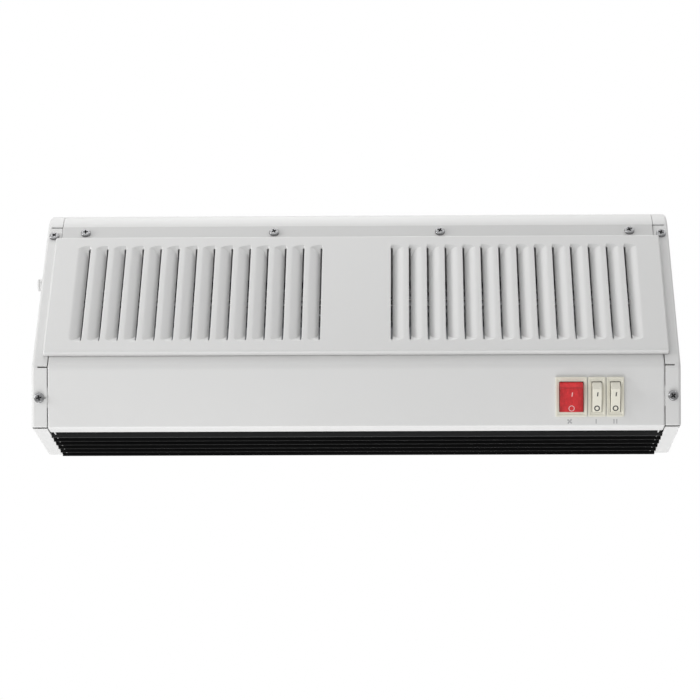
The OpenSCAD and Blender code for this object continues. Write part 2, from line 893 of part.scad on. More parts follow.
// y of the duct front plate's inner face at a height
function duct_y(z) = let (rise = tongue_tip - duct_foot)
    duct_foot[0] + rise[0] * (z - duct_foot[1]) / rise[1];

module heater_brackets() {
    low = heater_height - board_half;
    high = heater_height + board_half;
    back_y = fan_axis[0] + guide_radius(0) - seat_gap;
    color(zinc) hung() difference() {
        for (x = [-tube_start + 6, 0, tube_turn - 6])
            along_x(x - 0.6, x + 0.6) polygon([
                [back_y, low], [duct_y(low) + seat_gap, low], [duct_y(high) + seat_gap, high], [back_y, high]
            ]);
        for (k = [0 : 3])
            translate([0, leg_y(k), heater_height])
                bar_x(-tube_start - 1, tube_turn + 1, tube_radius + 0.1);
    }
}

module heater_terminals() {
    color("#c8a24a") hung() for (k = [0 : 3])
        translate([0, leg_y(k), heater_height]) bar_x(-tube_start - 5, -tube_start, 1.5);
}

cutout_radius = 7.5;
module thermal_cutout() {
    color("#d8d3c4") hung() translate([0, fan_axis[0] - 8, heater_height + board_half + cutout_radius + 3]) {
        bar_x(-side_plate_in, -side_plate_in + 1, cutout_radius);
        bar_x(-side_plate_in + 1, -side_plate_in + 10, cutout_radius - 1.5);
    }
}

// --- Electrics in the end caps' hollows
block_depth = 11;
block_low = 60;
block_rows = 3;
block_step = 12;

module terminal_block() {
    color("#e4e0cf") hung() difference() {
        box([-side_plate_out - block_depth, -bush_depth - 10, block_low],
            [-side_plate_out, -bush_depth + 10, block_low + block_rows * block_step]);
        terminal_places() bar_x(-1, 4, 2.6);
    }
}

module terminal_places() {
    for (k = [0 : block_rows - 1])
        for (side = [-1, 1])
            translate([
                -side_plate_out - block_depth, -bush_depth + side * 5, block_low + (k + 0.5) * block_step
            ]) children();
}

module terminal_screws() {
    color("#c8a24a") hung() terminal_places() bar_x(2, 4, 2.4);
}

capacitor = [13, 24, 36];
module run_capacitor() {
    color("#eceae2") hung() translate([side_plate_out, -bush_depth - capacitor[1] / 2, block_low])
        cube(capacitor);
}

loom_radius = 2.5;
loom_y = duct_y(heater_height) - sheet - loom_radius - 3;
module wiring_loom() {
    color("#2a2c30") hung() translate([0, loom_y, heater_height])
        bar_x(-side_plate_in + 2, wide_switch_x - wide_bezel / 2 - 6, loom_radius);
}

clip_step = casing_half / 4;
clip_half = 4;
module wire_clips() {
    color("#dcdcd6") hung() for (k = [-3, -1, 1])
        translate([k * clip_step, loom_y, heater_height]) difference() {
            union() {
                bar_x(-clip_half, clip_half, loom_radius + 1.2);
                box([-clip_half, 0, -2], [clip_half, duct_y(heater_height - 2) - loom_y - 1.2 * sheet, 2]);
            }
            bar_x(-clip_half - 1, clip_half + 1, loom_radius + 0.05);
        }
}

bush_proud = 6.5;
module cable_bush() {
    color(coat) hung() translate([-half_length, -bush_depth, bush_height]) difference() {
        union() {
            bar_x(-bush_proud, 0, cable_radius + 1.1);
            bar_x(-1.6, 0, cable_radius + 3);
            bar_x(-0.5, sheet + 0.5, cable_radius + 2);
            bar_x(sheet + 0.05, sheet + 3, cable_radius + 3.2);
            for (k = [0, 1]) bar_x(-4.4 - 1.9 * k, -3.2 - 1.9 * k, cable_radius + 1.6);
        }
        bar_x(-bush_proud - 1, sheet + 4, cable_radius);
    }
}

// --- Rocker switches, in a local frame with Z out of the panel and Y up it
opening_half = 12.2;
lip = 0.9;
pivot_depth = 6.5;
ridge_reach = 14.38;
shoulder_reach = 13.78;
body_depth = 17.5;
blade_length = 5;
pin_radius = 1.25;
lip_level = bezel_rise;
ridge_half = ridge_reach * sin(53.8 - rocker_tilt);
ridge_level = ridge_reach * cos(53.8 - rocker_tilt);
shoulder_half = shoulder_reach * sin(53 + rocker_tilt);
shoulder_level = shoulder_reach * cos(53 + rocker_tilt);

module at_switch(k) {
    on_front() translate([switch_x[k], switch_height, 0]) children();
}

module switch_body(k) {
    w = switch_w[k];
    housing_w = w - housing_trim;
    wall = 0.8;
    at_switch(k) difference() {
        union() {
            translate([-w / 2, -bezel_height / 2, 0.02]) cube([w, bezel_height, bezel_rise]);
            translate([-housing_w / 2, -housing_height / 2, -body_depth])
                cube([housing_w, housing_height, body_depth + 0.5]);
            // sprung barbs that hold the panel's sheet
            for (side = [-1, 1]) mirror([0, side < 0 ? 1 : 0, 0])
                rotate([90, 0, 90]) translate([0, 0, -housing_w / 4]) linear_extrude(housing_w / 2)
                    polygon([
                        [housing_height / 2 - 0.1, -sheet - 0.3], [housing_height / 2 + 0.8, -sheet - 0.3],
                        [housing_height / 2 - 0.1, -sheet - 5]
                    ]);
        }
        // opening, with the hollow widening behind its lip
        translate([-housing_w / 2 + wall, -opening_half, lip_level - lip - eps])
            cube([housing_w - 2 * wall, 2 * opening_half, lip + 1]);
        translate([-housing_w / 2 + wall, -housing_height / 2 + wall / 2, -body_depth + 1.5])
            cube([housing_w - 2 * wall, housing_height - wall, body_depth - 1.5 + lip_level - lip]);
        translate([0, 0, -pivot_depth]) bar_x(-housing_w, housing_w, pin_radius + 0.05);
    }
}

// Rocker at rest: its upper end stands out, its lower end is pressed in
module rocker(k) {
    housing_w = switch_w[k] - housing_trim;
    rocker_half = housing_w / 2 - 0.8 - 0.3;
    side_profile = [
        [-ridge_half, ridge_level], [ridge_half, ridge_level], [shoulder_half, shoulder_level],
        [shoulder_half - 0.6, 2.5], [4, -2.2], [-4, -2.2], [-shoulder_half + 0.6, 2.5],
        [-shoulder_half, shoulder_level]
    ];
    at_switch(k) translate([0, 0, -pivot_depth]) rotate([rocker_tilt, 0, 0]) {
        along_x(-rocker_half, rocker_half)
            polygon(rounded(side_profile, [0.8, 0.8, 0.6, 0.6, 0.6, 0.6, 0.6, 0.6], 4));
        bar_x(-housing_w / 2 + 0.1, housing_w / 2 - 0.1, pin_radius);
    }
}

module fan_switch_body() {
    color(ivory) hung() switch_body(0);
}

module fan_rocker() {
    color("#c4262e") hung() rocker(0);
}

module heat_one_switch_body() {
    color(ivory) hung() switch_body(1);
}

module heat_one_rocker() {
    color(ivory) hung() rocker(1);
}

module heat_two_switch_body() {
    color(ivory) hung() switch_body(2);
}

module heat_two_rocker() {
    color(ivory) hung() rocker(2);
}

blade_w = 6.3;
module switch_terminals() {
    color("#c8a24a") hung() {
        at_switch(0) for (x = [-5, 5])
            for (y = [-7, 7]) terminal_blade(x, y);
        for (k = [1, 2])
            at_switch(k) for (y = [-8, 0, 8]) terminal_blade(0, y);
    }
}

module terminal_blade(x, y) {
    translate([x - blade_w / 2, y - 0.4, -body_depth - blade_length]) cube([blade_w, 0.8, blade_length]);
}

module switch_lamp() {
    color("#e8a070") hung() at_switch(0) translate([0, 0, -body_depth + 1.5]) cylinder(h = 5.5, r = 2);
}

// --- Screws
head_height = 2.4;
recess_depth = 1.2;

module pan_screw(length) {
    difference() {
        union() {
            rotate_extrude() polygon(concat(
                [[0, 0], [head_radius, 0]],
                [
                    for (k = [0 : 5])
                        [head_radius * cos(k * 15), 0.6 + (head_height - 0.6) * sin(k * 15)]
                ],
                [[0, head_height]]
            ));
            translate([0, 0, -length]) cylinder(h = length + 0.1, r = shank_radius);
        }
        for (turn = [45, 135])
            rotate(turn) translate([-2.4, -0.45, head_height - recess_depth])
                cube([4.8, 0.9, recess_depth + 1]);
    }
}

module strip_screws() {
    color(zinc) hung() on_slope() strip_screw_places() translate([0, 0, 0.02]) pan_screw(8);
}

module cap_screws() {
    color(zinc) hung() both_ends() cap_screw_places() translate([0, 0, 0.02]) pan_screw(8);
}

rear_casing();
louvre_panel();
front_panel();
left_end_cap();
right_end_cap();
left_side_plate();
right_side_plate();
wall_bracket();
guard_wires();
outlet_fins();
fin_tie_rods();
fin_spacers();
left_scroll_guide();
right_scroll_guide();
duct_front_plate();
left_fan();
right_fan();
stub_shafts();
fan_hub_screws();
motor_shaft();
motor_rotor();
motor_housing();
motor_stator();
motor_windings();
motor_bearings();
motor_rubber_rings();
motor_bracket();
motor_bracket_screws();
end_bearings();
bearing_rubber_rings();
heater_tubes();
heater_brackets();
heater_terminals();
thermal_cutout();
terminal_block();
terminal_screws();
run_capacitor();
wiring_loom();
wire_clips();
cable_bush();
fan_switch_body();
fan_rocker();
heat_one_switch_body();
heat_one_rocker();
heat_two_switch_body();
heat_two_rocker();
switch_terminals();
switch_lamp();
strip_screws();
cap_screws();
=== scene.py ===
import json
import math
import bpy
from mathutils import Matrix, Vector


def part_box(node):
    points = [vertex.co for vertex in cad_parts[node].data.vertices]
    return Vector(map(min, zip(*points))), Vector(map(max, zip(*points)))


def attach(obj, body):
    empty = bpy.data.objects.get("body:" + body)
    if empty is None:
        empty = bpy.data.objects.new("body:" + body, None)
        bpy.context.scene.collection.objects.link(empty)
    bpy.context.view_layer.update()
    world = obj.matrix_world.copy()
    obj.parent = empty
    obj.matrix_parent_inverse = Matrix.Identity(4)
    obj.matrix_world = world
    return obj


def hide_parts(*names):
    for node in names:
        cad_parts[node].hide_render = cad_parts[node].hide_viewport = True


bl_info = {
    "name": "Heated air curtain",
    "version": (1, 0, 0),
    "blender": (4, 5, 0),
    "location": "3D Viewport > Sidebar > Air Curtain",
    "description": "Dresses the packed model of a wall-hung heated air curtain and lights it",
    "category": "Object",
}

import bmesh
import bpy
from bpy.props import FloatProperty, FloatVectorProperty, IntProperty, PointerProperty
from mathutils import Matrix, Vector

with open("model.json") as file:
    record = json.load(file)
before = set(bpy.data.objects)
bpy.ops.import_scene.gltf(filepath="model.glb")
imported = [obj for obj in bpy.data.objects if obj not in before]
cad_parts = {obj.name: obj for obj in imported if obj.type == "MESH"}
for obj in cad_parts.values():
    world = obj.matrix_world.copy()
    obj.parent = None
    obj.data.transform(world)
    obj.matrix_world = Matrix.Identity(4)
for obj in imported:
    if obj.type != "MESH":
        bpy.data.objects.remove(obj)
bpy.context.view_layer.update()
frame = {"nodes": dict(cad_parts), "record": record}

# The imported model's own places, in metres: X along the unit, -Y to the front, Z up.
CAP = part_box("left_end_cap")
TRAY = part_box("louvre_panel")
UNDERSIDE = CAP[0].z
HALF_LENGTH = -CAP[0].x
CASING_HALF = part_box("rear_casing")[1].x
# Two places that are nearer than this are the same.
TINY = 2e-5


# --- Sizes and colours that a user would change


def Length(name, description, default):
    return FloatProperty(
        name=name, description=description, default=default, unit="LENGTH", precision=5)


def Power(name, description, default):
    return FloatProperty(name=name, description=description, default=default, unit="POWER")


def Colour(name, description, default):
    return FloatVectorProperty(
        name=name, description=description, default=default, subtype="COLOR")


class CasingSizes(bpy.types.PropertyGroup):
    """The casing's section and its sheet."""

    base_depth: Length("Base depth", "From the wall to the lower front bend", 0.103)
    front_lean: Length(
        "Front lean", "How far the front panel leans out above its lower bend", 0.0115)
    bend_height: Length("Bend height", "Height of the upper front bend above the underside", 0.047)
    slope_top_depth: Length(
        "Slope top depth", "From the wall to the louvre panel's top edge", 0.0445)
    top_rise: Length("Top rise", "Height of the rounded top edge above the louvre panel", 0.0165)
    back_gap: Length("Back gap", "Space for the bracket between the wall and the casing", 0.002)
    sheet: Length("Sheet", "Thickness of the coated steel sheet", 0.001)
    bend_radius: Length("Upper bend radius", "Rounding of the upper front bend", 0.008)
    front_return: Length("Front return", "Width of the front panel's flange under the unit", 0.0145)
    front_overlap: Length(
        "Front overlap", "How far the front panel reaches up behind the tray", 0.024)
    corner_radius: Length(
        "Corner radius", "Rounding of the front panel's two lower corners", 0.0016)
    rim_radius: Length("Rim radius", "Rounding of the end caps' outer rims", 0.0024)
    fold_radius: Length("Fold radius", "Rounding where a sheet folds back at its ends", 0.0015)
    seam_gap: Length("Seam gap", "Visible gap between neighbouring sheets", 0.0004)


class LouvreSizes(bpy.types.PropertyGroup):
    """The raised tray and its pressed louvres."""

    strip_width: Length("Strip width", "Screwed strip above the tray", 0.0154)
    rise: Length("Rise", "How far the tray stands proud of the end caps", 0.005)
    foot: Length("Foot", "Gap between the tray's edges and the end caps", 0.0003)
    lip_above_bend: Length(
        "Lip above bend", "From the tray's lower lip to the upper front bend", 0.0106)
    lip_radius: Length("Lip radius", "Rounding of the tray's lower lip", 0.0018)
    top_radius: Length("Top radius", "Rounding of the tray's upper edge", 0.0016)
    side_radius: Length("Side radius", "Rounding of the tray's two side edges", 0.0015)
    count: IntProperty(
        name="Louvres", description="Number of louvres in each group", default=14, min=2)
    pitch: Length("Pitch", "From one louvre to the next", 0.01454)
    first_slit: Length("First slit", "From the middle of the panel to the first slit", 0.0283)
    top: Length("Louvre top", "Distance down the slope to the louvres' upper ends", 0.0255)
    length: Length("Louvre length", "Length of one louvre", 0.105)
    width: Length("Louvre width", "Width of one louvre", 0.0106)
    depth: Length("Louvre depth", "Depth of a louvre at its slit", 0.0044)
    slit: Length("Slit", "Width of the slit beside a louvre's edge", 0.0011)
    end_length: Length("End length", "Length of a louvre's rounded end", 0.0052)
    end_wall: Length("End wall", "Run of the wall that closes a louvre's end", 0.0095)
    slit_inset: Length("Slit inset", "From a louvre's end to the end of its slit", 0.0038)
    lip_edge: Length("Lip edge", "Rounding of the panel's edge along a slit", 0.0007)
    strip_lap: Length("Strip lap", "How far the strip stands proud of the casing it laps", 0.001)


class SwitchSizes(bpy.types.PropertyGroup):
    """The three rocker switches."""

    height: Length("Height", "Height of the switches' middle above the lower bend", 0.0233)
    bezel_rise: Length("Bezel rise", "How far a bezel stands proud of the panel", 0.0018)
    frame_width: Length("Frame width", "Width of the raised frame round a bezel's opening", 0.0015)
    opening_half: Length("Opening half height", "Half the height of a bezel's opening", 0.0119)
    pivot_depth: Length("Pivot depth", "Depth of a rocker's pivot behind the panel", 0.0065)
    tilt: FloatProperty(
        name="Tilt", description="Half the angle that a rocker tips through",
        default=math.radians(14), subtype="ANGLE")
    ridge_half: Length("Ridge half", "From the middle of a rocker to each of its ridges", 0.0092)
    ridge_level: Length("Ridge level", "Height of a rocker's ridges above its pivot", 0.01105)
    shoulder_half: Length(
        "Shoulder half", "From the middle of a rocker to each of its shoulders", 0.0130)
    shoulder_level: Length(
        "Shoulder level", "Height of a rocker's shoulders above its pivot", 0.00538)


class ScrewSizes(bpy.types.PropertyGroup):
    """The pan-head screws."""

    head_radius: Length("Head radius", "Radius of a pan head", 0.004)
    head_height: Length("Head height", "Height of a pan head", 0.0022)
    recess_half: Length("Recess half", "Half the width of the cross recess", 0.0026)
    recess_depth: Length("Recess depth", "Depth of the cross recess", 0.0019)


class FinishColours(bpy.types.PropertyGroup):
    """The finishes' colours."""

    coat: Colour("Coat", "Powder coat of the casing", (0.68, 0.68, 0.675))
    black: Colour("Black coat", "Coat of the outlet fins", (0.0135, 0.0137, 0.014))
    ivory: Colour("Ivory", "Moulded bezels and narrow rockers", (0.715, 0.695, 0.60))
    red: Colour("Red", "Moulded wide rocker", (0.56, 0.016, 0.022))
    ink: Colour("Ink", "Grey marks printed on the front panel", (0.38, 0.38, 0.39))
    steel: Colour("Plated steel", "Zinc-plated screws and rods", (0.26, 0.261, 0.266))


class StageSettings(bpy.types.PropertyGroup):
    """The floor, the lamps and the camera."""

    floor_drop: Length("Floor drop", "How far the floor lies below the unit", 1.1)
    side_power: Power("Side lamp", "Strength of the grazing lamp at the left", 19.8)
    top_power: Power("Top lamp", "Strength of the large lamp above the unit", 13.0)
    high_right_power: Power("High right lamp", "Strength of the lamp at the upper right", 5.9)
    high_front_power: Power(
        "High front lamp", "Strength of the lamp high in front of the unit", 3.2)
    front_power: Power("Front lamp", "Strength of the lamp in front of the unit", 4.6)
    low_power: Power("Low lamp", "Strength of the lamp that lights the underside", 6.4)
    floor_glow: FloatProperty(
        name="Floor glow", description="Light that the pale floor sends up from the whole room",
        default=0.25, min=0)
    back_power: Power("Back lamp", "Strength of the lamp behind the unit", 8.0)
    fill_level: FloatProperty(
        name="Fill level", description="Strength of the room's own light", default=0.3)
    focal_length: FloatProperty(
        name="Focal length", description="Camera lens on a 36 mm sensor, in millimetres",
        default=136.286)


class AirCurtainSettings(bpy.types.PropertyGroup):
    """All the settings of the air curtain."""

    casing: PointerProperty(type=CasingSizes)
    louvres: PointerProperty(type=LouvreSizes)
    switches: PointerProperty(type=SwitchSizes)
    screws: PointerProperty(type=ScrewSizes)
    colours: PointerProperty(type=FinishColours)
    stage: PointerProperty(type=StageSettings)


def settings():
    return bpy.context.scene.air_curtain


# --- The casing's section: (y, z) points as vectors, and the frames of its two front planes


def at(depth, height):
    """A section point from its distance to the wall and its height above the underside."""
    return Vector((-depth, UNDERSIDE + height))


def lower_bend():
    return at(settings().casing.base_depth, 0)


def upper_bend():
    casing = settings().casing
    return at(casing.base_depth + casing.front_lean, casing.bend_height)


def slope_top():
    casing = settings().casing
    return at(casing.slope_top_depth, CAP[1].z - UNDERSIDE - casing.top_rise)


def slope_angle():
    up = slope_top() - upper_bend()
    return math.atan2(up.y, up.x)


def front_angle():
    up = upper_bend() - lower_bend()
    return math.atan2(up.y, up.x)


def slope_up():
    """The way up the slope, as a section vector."""
    return Vector((math.cos(slope_angle()), math.sin(slope_angle())))


def top_bend_radius():
    return settings().casing.top_rise / (1 - math.cos(slope_angle()))


def top_corner():
    """Where the slope and the flat top would meet without the rounded edge between them."""
    return slope_top() + slope_up() * top_bend_radius() * math.tan(slope_angle() / 2)


def shift(x, y, z=0.0):
    return Matrix.Translation((x, y, z))


def turn(angle, axis="Z"):
    return Matrix.Rotation(angle, 4, axis)


def plane_frame(origin, angle):
    """X along the unit, Y up the sheet and Z out of it, from a section point."""
    return shift(0, origin.x, origin.y) @ turn(angle, "X")


def slope_frame():
    return plane_frame(slope_top(), slope_angle())


def front_frame():
    return plane_frame(lower_bend(), front_angle())


def slope_length():
    return (slope_top() - upper_bend()).length


# --- Work by hand, in code


def clear_selection():
    if bpy.context.object and bpy.context.object.mode != "OBJECT":
        bpy.ops.object.mode_set(mode="OBJECT")
    bpy.ops.object.select_all(action="DESELECT")


def take(*pieces):
    """Selects these pieces alone. The first is the active one."""
    clear_selection()
    for piece in pieces:
        piece.select_set(True)
    bpy.context.view_layer.objects.active = pieces[0]


def named(name):
    piece = bpy.context.object
    piece.name = piece.data.name = name
    return piece


def settle(piece):
    """Moves the piece's place, turn and scale into its mesh."""
    take(piece)
    bpy.ops.object.transform_apply(location=True, rotation=True, scale=True)
    return piece


def place(piece, matrix):
    piece.matrix_world = matrix @ piece.matrix_world
    return settle(piece)


def new_plane(name, centre, size, rotation=(0, 0, 0)):
    clear_selection()
    bpy.ops.mesh.primitive_plane_add(size=1, location=centre, rotation=rotation)
    piece = named(name)
    piece.scale = (size[0], size[1], 1)
    return settle(piece)


def new_box(name, low, high):
    clear_selection()
    low, high = Vector(low), Vector(high)
    bpy.ops.mesh.primitive_cube_add(size=1, location=(low + high) / 2)
    piece = named(name)
    piece.scale = high - low
    return settle(piece)


def new_cylinder(name, radius, low, high, sides=32, axis="Z"):
    """A closed cylinder between two levels of its axis, round the origin."""
    clear_selection()
    rotation = {"X": (0, math.pi / 2, 0), "Y": (-math.pi / 2, 0, 0), "Z": (0, 0, 0)}[axis]
    centre = [(low + high) / 2 if axis == letter else 0 for letter in "XYZ"]
    bpy.ops.mesh.primitive_cylinder_add(
        vertices=sides, radius=radius, depth=high - low, location=centre, rotation=rotation)
    return settle(named(name))


def edit(piece):
    take(piece)
    bpy.ops.object.mode_set(mode="EDIT")


def leave_edit():
    bpy.ops.object.mode_set(mode="OBJECT")


def pick(piece, kind, test):
    """In edit mode, selects the vertices, edges or faces that pass the test, and nothing else."""
    bpy.ops.mesh.select_mode(type=kind)
    bpy.ops.mesh.select_all(action="DESELECT")
    mesh = bmesh.from_edit_mesh(piece.data)
    parts = {"VERT": mesh.verts, "EDGE": mesh.edges, "FACE": mesh.faces}[kind]
    chosen = [part for part in parts if test(part)]
    if not chosen:
        raise RuntimeError(f"{piece.name}: no {kind.lower()} is where it should be")
    for part in chosen:
        part.select_set(True)
    bmesh.update_edit_mesh(piece.data)


def near(first, second):
    return abs(first - second) < TINY


def at_level(axis, level):
    """Test for vertices at a level of an axis (0 to 2)."""
    return lambda vertex: near(vertex.co[axis], level)


def in_plane(axis, level):
    """Test for edges that lie at a level of an axis (0 to 2)."""
    return lambda edge: all(near(v.co[axis], level) for v in edge.verts)


def along_x_at(point):
    """Test for edges that run along X through a section point."""
    return lambda edge: in_plane(1, point.x)(edge) and in_plane(2, point.y)(edge)


def crosswise(edge):
    """Test for edges that lie across the unit's length."""
    one, other = edge.verts
    return near(one.co.x, other.co.x)


def upright(edge):
    """Test for edges that run along Z."""
    one, other = edge.verts
    return crosswise(edge) and near(one.co.y, other.co.y)


def bends(edge, least):
    """Whether an edge joins two faces at more than that angle."""
    return len(edge.link_faces) == 2 and edge.calc_face_angle(0) > least


def move(step):
    bpy.ops.transform.translate(value=step)


def resize(factors, centre):
    bpy.ops.transform.resize(value=factors, center_override=centre)


def extrude_edges(step):
    bpy.ops.mesh.extrude_edges_move(TRANSFORM_OT_translate={"value": step})


def round_edges(piece, test, radius, segments=6):
    """Rolls the edges that pass the test over to an arc of that radius."""
    pick(piece, "EDGE", test)
    mesh = bmesh.from_edit_mesh(piece.data)
    angle = max(edge.calc_face_angle(0) for edge in mesh.edges if edge.select)
    bpy.ops.mesh.bevel(
        offset=radius * math.tan(angle / 2), segments=segments, profile=0.5, affect="EDGES")


def bent_sheet(name, path, x_from, x_to):
    """A sheet along X that goes through the (y, z) points of a path."""
    step = path[1] - path[0]
    middle = (path[0] + path[1]) / 2
    piece = new_plane(
        name, ((x_from + x_to) / 2, middle.x, middle.y), (x_to - x_from, step.length),
        (math.atan2(step.y, step.x), 0, 0))
    edit(piece)
    for here, there in zip(path[1:], path[2:]):
        pick(piece, "EDGE", along_x_at(here))
        extrude_edges((0, there.x - here.x, there.y - here.y))
    leave_edit()
    return piece


def merge_close(distance=1e-6):
    bpy.ops.mesh.select_all(action="SELECT")
    bpy.ops.mesh.remove_doubles(threshold=distance)


def face_outwards():
    bpy.ops.mesh.select_all(action="SELECT")
    bpy.ops.mesh.normals_make_consistent(inside=False)


def apply_modifier(piece, kind, **values):
    """Adds one modifier, sets it and applies it."""
    take(piece)
    modifier = piece.modifiers.new(kind.title(), kind)
    for key, value in values.items():
        setattr(modifier, key, value)
    bpy.ops.object.modifier_apply(modifier=modifier.name)


def thicken(piece, thickness):
    """Gives a sheet its thickness behind its face."""
    apply_modifier(piece, "SOLIDIFY", thickness=thickness, offset=-1, use_even_offset=True)


def cut_away(piece, *cutters):
    """Takes the cutters' shapes out of the piece, and the cutters away."""
    for cutter in cutters:
        apply_modifier(piece, "BOOLEAN", object=cutter, operation="DIFFERENCE", solver="EXACT")
        take(cutter)
        bpy.ops.object.delete()


def soften(piece, width, segments=2, angle=40):
    apply_modifier(
        piece, "BEVEL", width=width, segments=segments, limit_method="ANGLE",
        angle_limit=math.radians(angle))


def smooth(piece, angle=35):
    """Shades the bends smooth and keeps the flats flat."""
    take(piece)
    bpy.ops.object.shade_smooth_by_angle(angle=math.radians(angle))
    apply_modifier(piece, "WEIGHTED_NORMAL", mode="FACE_AREA", weight=90, keep_sharp=True)


def joined(name, *pieces):
    take(*pieces)
    bpy.ops.object.join()
    return named(name)


def copy_of(piece, name):
    take(piece)
    bpy.ops.object.duplicate()
    return named(name)


def mirrored(piece):
    """Turns a piece over to the unit's other end."""
    take(piece)
    resize((-1, 1, 1), (0, 0, 0))
    settle(piece)
    edit(piece)
    bpy.ops.mesh.select_all(action="SELECT")
    bpy.ops.mesh.flip_normals()
    leave_edit()
    return piece


def hand_over(piece, body, slot, *nodes, finish=None):
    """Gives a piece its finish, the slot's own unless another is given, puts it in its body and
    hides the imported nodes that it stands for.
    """
    if not piece.data.materials:
        piece.data.materials.append(finish or FINISHES[slot])
    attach(piece, body)
    if nodes:
        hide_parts(*nodes)


# --- Finishes


class Term:
    """A shader socket that counts as a number in Python sums."""

    def __init__(self, finish, socket):
        self.finish = finish
        self.socket = socket

    def maths(self, operation, first, second):
        return self.finish.node("ShaderNodeMath", {"operation": operation}, {0: first, 1: second})

    def __add__(self, other):
        return self.maths("ADD", self, other)

    __radd__ = __add__

    def __sub__(self, other):
        return self.maths("SUBTRACT", self, other)

    def __rsub__(self, other):
        return self.maths("SUBTRACT", other, self)

    def __mul__(self, other):
        return self.maths("MULTIPLY", self, other)

    __rmul__ = __mul__

    def __truediv__(self, other):
        return self.maths("DIVIDE", self, other)

    def __rtruediv__(self, other):
        return self.maths("DIVIDE", other, self)

    def __abs__(self):
        return self.maths("ABSOLUTE", self, 0)


class Finish:
    """A material that is put together from nodes."""

    def __init__(self, name, **plain):
        self.material = bpy.data.materials.new(name)
        self.material.use_nodes = True
        self.nodes = self.material.node_tree.nodes
        self.links = self.material.node_tree.links
        self.nodes.clear()
        self.surface = self.nodes.new("ShaderNodeBsdfPrincipled")
        output = self.nodes.new("ShaderNodeOutputMaterial")
        self.links.new(self.surface.outputs[0], output.inputs[0])
        self.place = self.node("ShaderNodeTexCoord", output="Object")
        for key, value in plain.items():
            self.set(key.replace("_", " "), value)

    def node(self, kind, settings=None, sockets=None, output=0):
        """Adds a node, sets it, then feeds its sockets with values or links."""
        made = self.nodes.new(kind)
        for key, value in (settings or {}).items():
            setattr(made, key, value)
        for key, value in (sockets or {}).items():
            self.feed(made.inputs[key], value)
        return Term(self, made.outputs[output])

    def feed(self, socket, value):
        if isinstance(value, Term):
            self.links.new(value.socket, socket)
        else:
            socket.default_value = value

    def set(self, socket, value):
        self.feed(self.surface.inputs[socket], value)

    def stretched(self, scale):
        """Object coordinates, stretched along the axes."""
        return self.node("ShaderNodeMapping", None, {"Vector": self.place, "Scale": scale})

    def coordinate(self, axis):
        """One object coordinate, as a number."""
        return self.node("ShaderNodeSeparateXYZ", None, {"Vector": self.place}, output=axis)

    def noise(self, scale, detail=2.0, roughness=0.5, place=None):
        return self.node("ShaderNodeTexNoise", None, {
            "Vector": place or self.place, "Scale": scale, "Detail": detail,
            "Roughness": roughness})

    def ramp(self, value, start, end, low, high):
        """Goes smoothly from low to high while the value goes from start to end."""
        return self.node("ShaderNodeMapRange", {"interpolation_type": "SMOOTHSTEP"}, {
            "Value": value, "From Min": start, "From Max": end, "To Min": low, "To Max": high})

    def blend(self, amount, first, second):
        """One colour going over into another."""
        return self.node(
            "ShaderNodeMix", {"data_type": "RGBA"},
            {"Factor": amount, "A": (*first, 1), "B": (*second, 1)}, output="Result")

    def pattern(self, amount, first, second, roughness, spread):
        """Lets the colour and the roughness follow one pattern."""
        self.set("Base Color", self.blend(amount, first, second))
        self.set("Roughness", roughness + amount * spread)

    def bump(self, height, strength, distance):
        self.set("Normal", self.node("ShaderNodeBump", None, {
            "Height": height, "Strength": strength, "Distance": distance}))


def shade(colour, factor):
    return tuple(min(1.0, part * factor) for part in colour)


def powder_coat(name, colour, gloss=0.42):
    """Fine powder coat: a faint orange peel, and a slight drift of tone."""
    finish = Finish(name)
    drift = finish.noise(7.0, 3.0)
    speck = finish.noise(2600.0, 2.0, 0.6)
    finish.set("Base Color", finish.blend(
        drift * 0.7 + speck * 0.3, shade(colour, 0.97), shade(colour, 1.03)))
    finish.set("Roughness", gloss + (speck - 0.5) * 0.12)
    finish.bump(finish.noise(900.0, 3.0, 0.55), 0.06, 0.0002)
    return finish.material


def satin_black():
    """Dull black with lengthwise streaks, with painted light on the front fin and painted shade on
    the fins behind it.
    """
    finish = Finish("satin_black", Specular_IOR_Level=0.08)
    colour = tuple(settings().colours.black)
    streak = finish.noise(60.0, 4.0, 0.6, finish.stretched((0.12, 3.0, 3.0)))
    # painted light and shade: the front fin is painted paler and the fins behind it darker; the
    # streaks are the coat's own
    front_fin_painted_light = finish.ramp(finish.coordinate("Y"), -0.0733, -0.0620, 0.65, 0.0)
    finish.set("Base Color", finish.blend(
        front_fin_painted_light + streak * 0.2, shade(colour, 0.22), shade(colour, 3.0)))
    finish.set("Roughness", 0.34 + streak * 0.16)
    finish.bump(finish.noise(1500.0, 2.0), 0.08, 0.0001)
    return finish.material


def galvanised():
    """Zinc-coated sheet with its spangle."""
    finish = Finish("galvanised", Metallic=1.0)
    spangle = finish.node(
        "ShaderNodeTexVoronoi", None, {"Vector": finish.place, "Scale": 95.0}, output="Color")
    tone = finish.node("ShaderNodeSeparateColor", None, {"Color": spangle})
    cloud = finish.noise(30.0, 4.0)
    finish.set("Base Color", finish.blend(
        tone * 0.6 + cloud * 0.4, (0.46, 0.48, 0.50), (0.66, 0.68, 0.70)))
    finish.set("Roughness", 0.36 + tone * 0.18)
    finish.bump(cloud, 0.05, 0.0002)
    return finish.material


def turned_metal(name, colour, roughness, along=(1.0, 40.0, 40.0), scale=60.0):
    """Machined metal with fine marks along one direction."""
    finish = Finish(name, Metallic=1.0)
    marks = finish.noise(scale, 3.0, 0.6, finish.stretched(along))
    finish.pattern(marks, shade(colour, 0.82), shade(colour, 1.08), roughness, 0.14)
    finish.bump(marks, 0.05, 0.0001)
    return finish.material


def moulded(name, colour, roughness, coat=0.0):
    """Moulded plastic with a faint cloudiness."""
    finish = Finish(name, Coat_Weight=coat)
    cloud = finish.noise(220.0, 3.0, 0.5)
    finish.pattern(cloud, shade(colour, 0.96), shade(colour, 1.04), roughness - 0.05, 0.1)
    finish.bump(finish.noise(2400.0, 2.0), 0.03, 0.0001)
    return finish.material


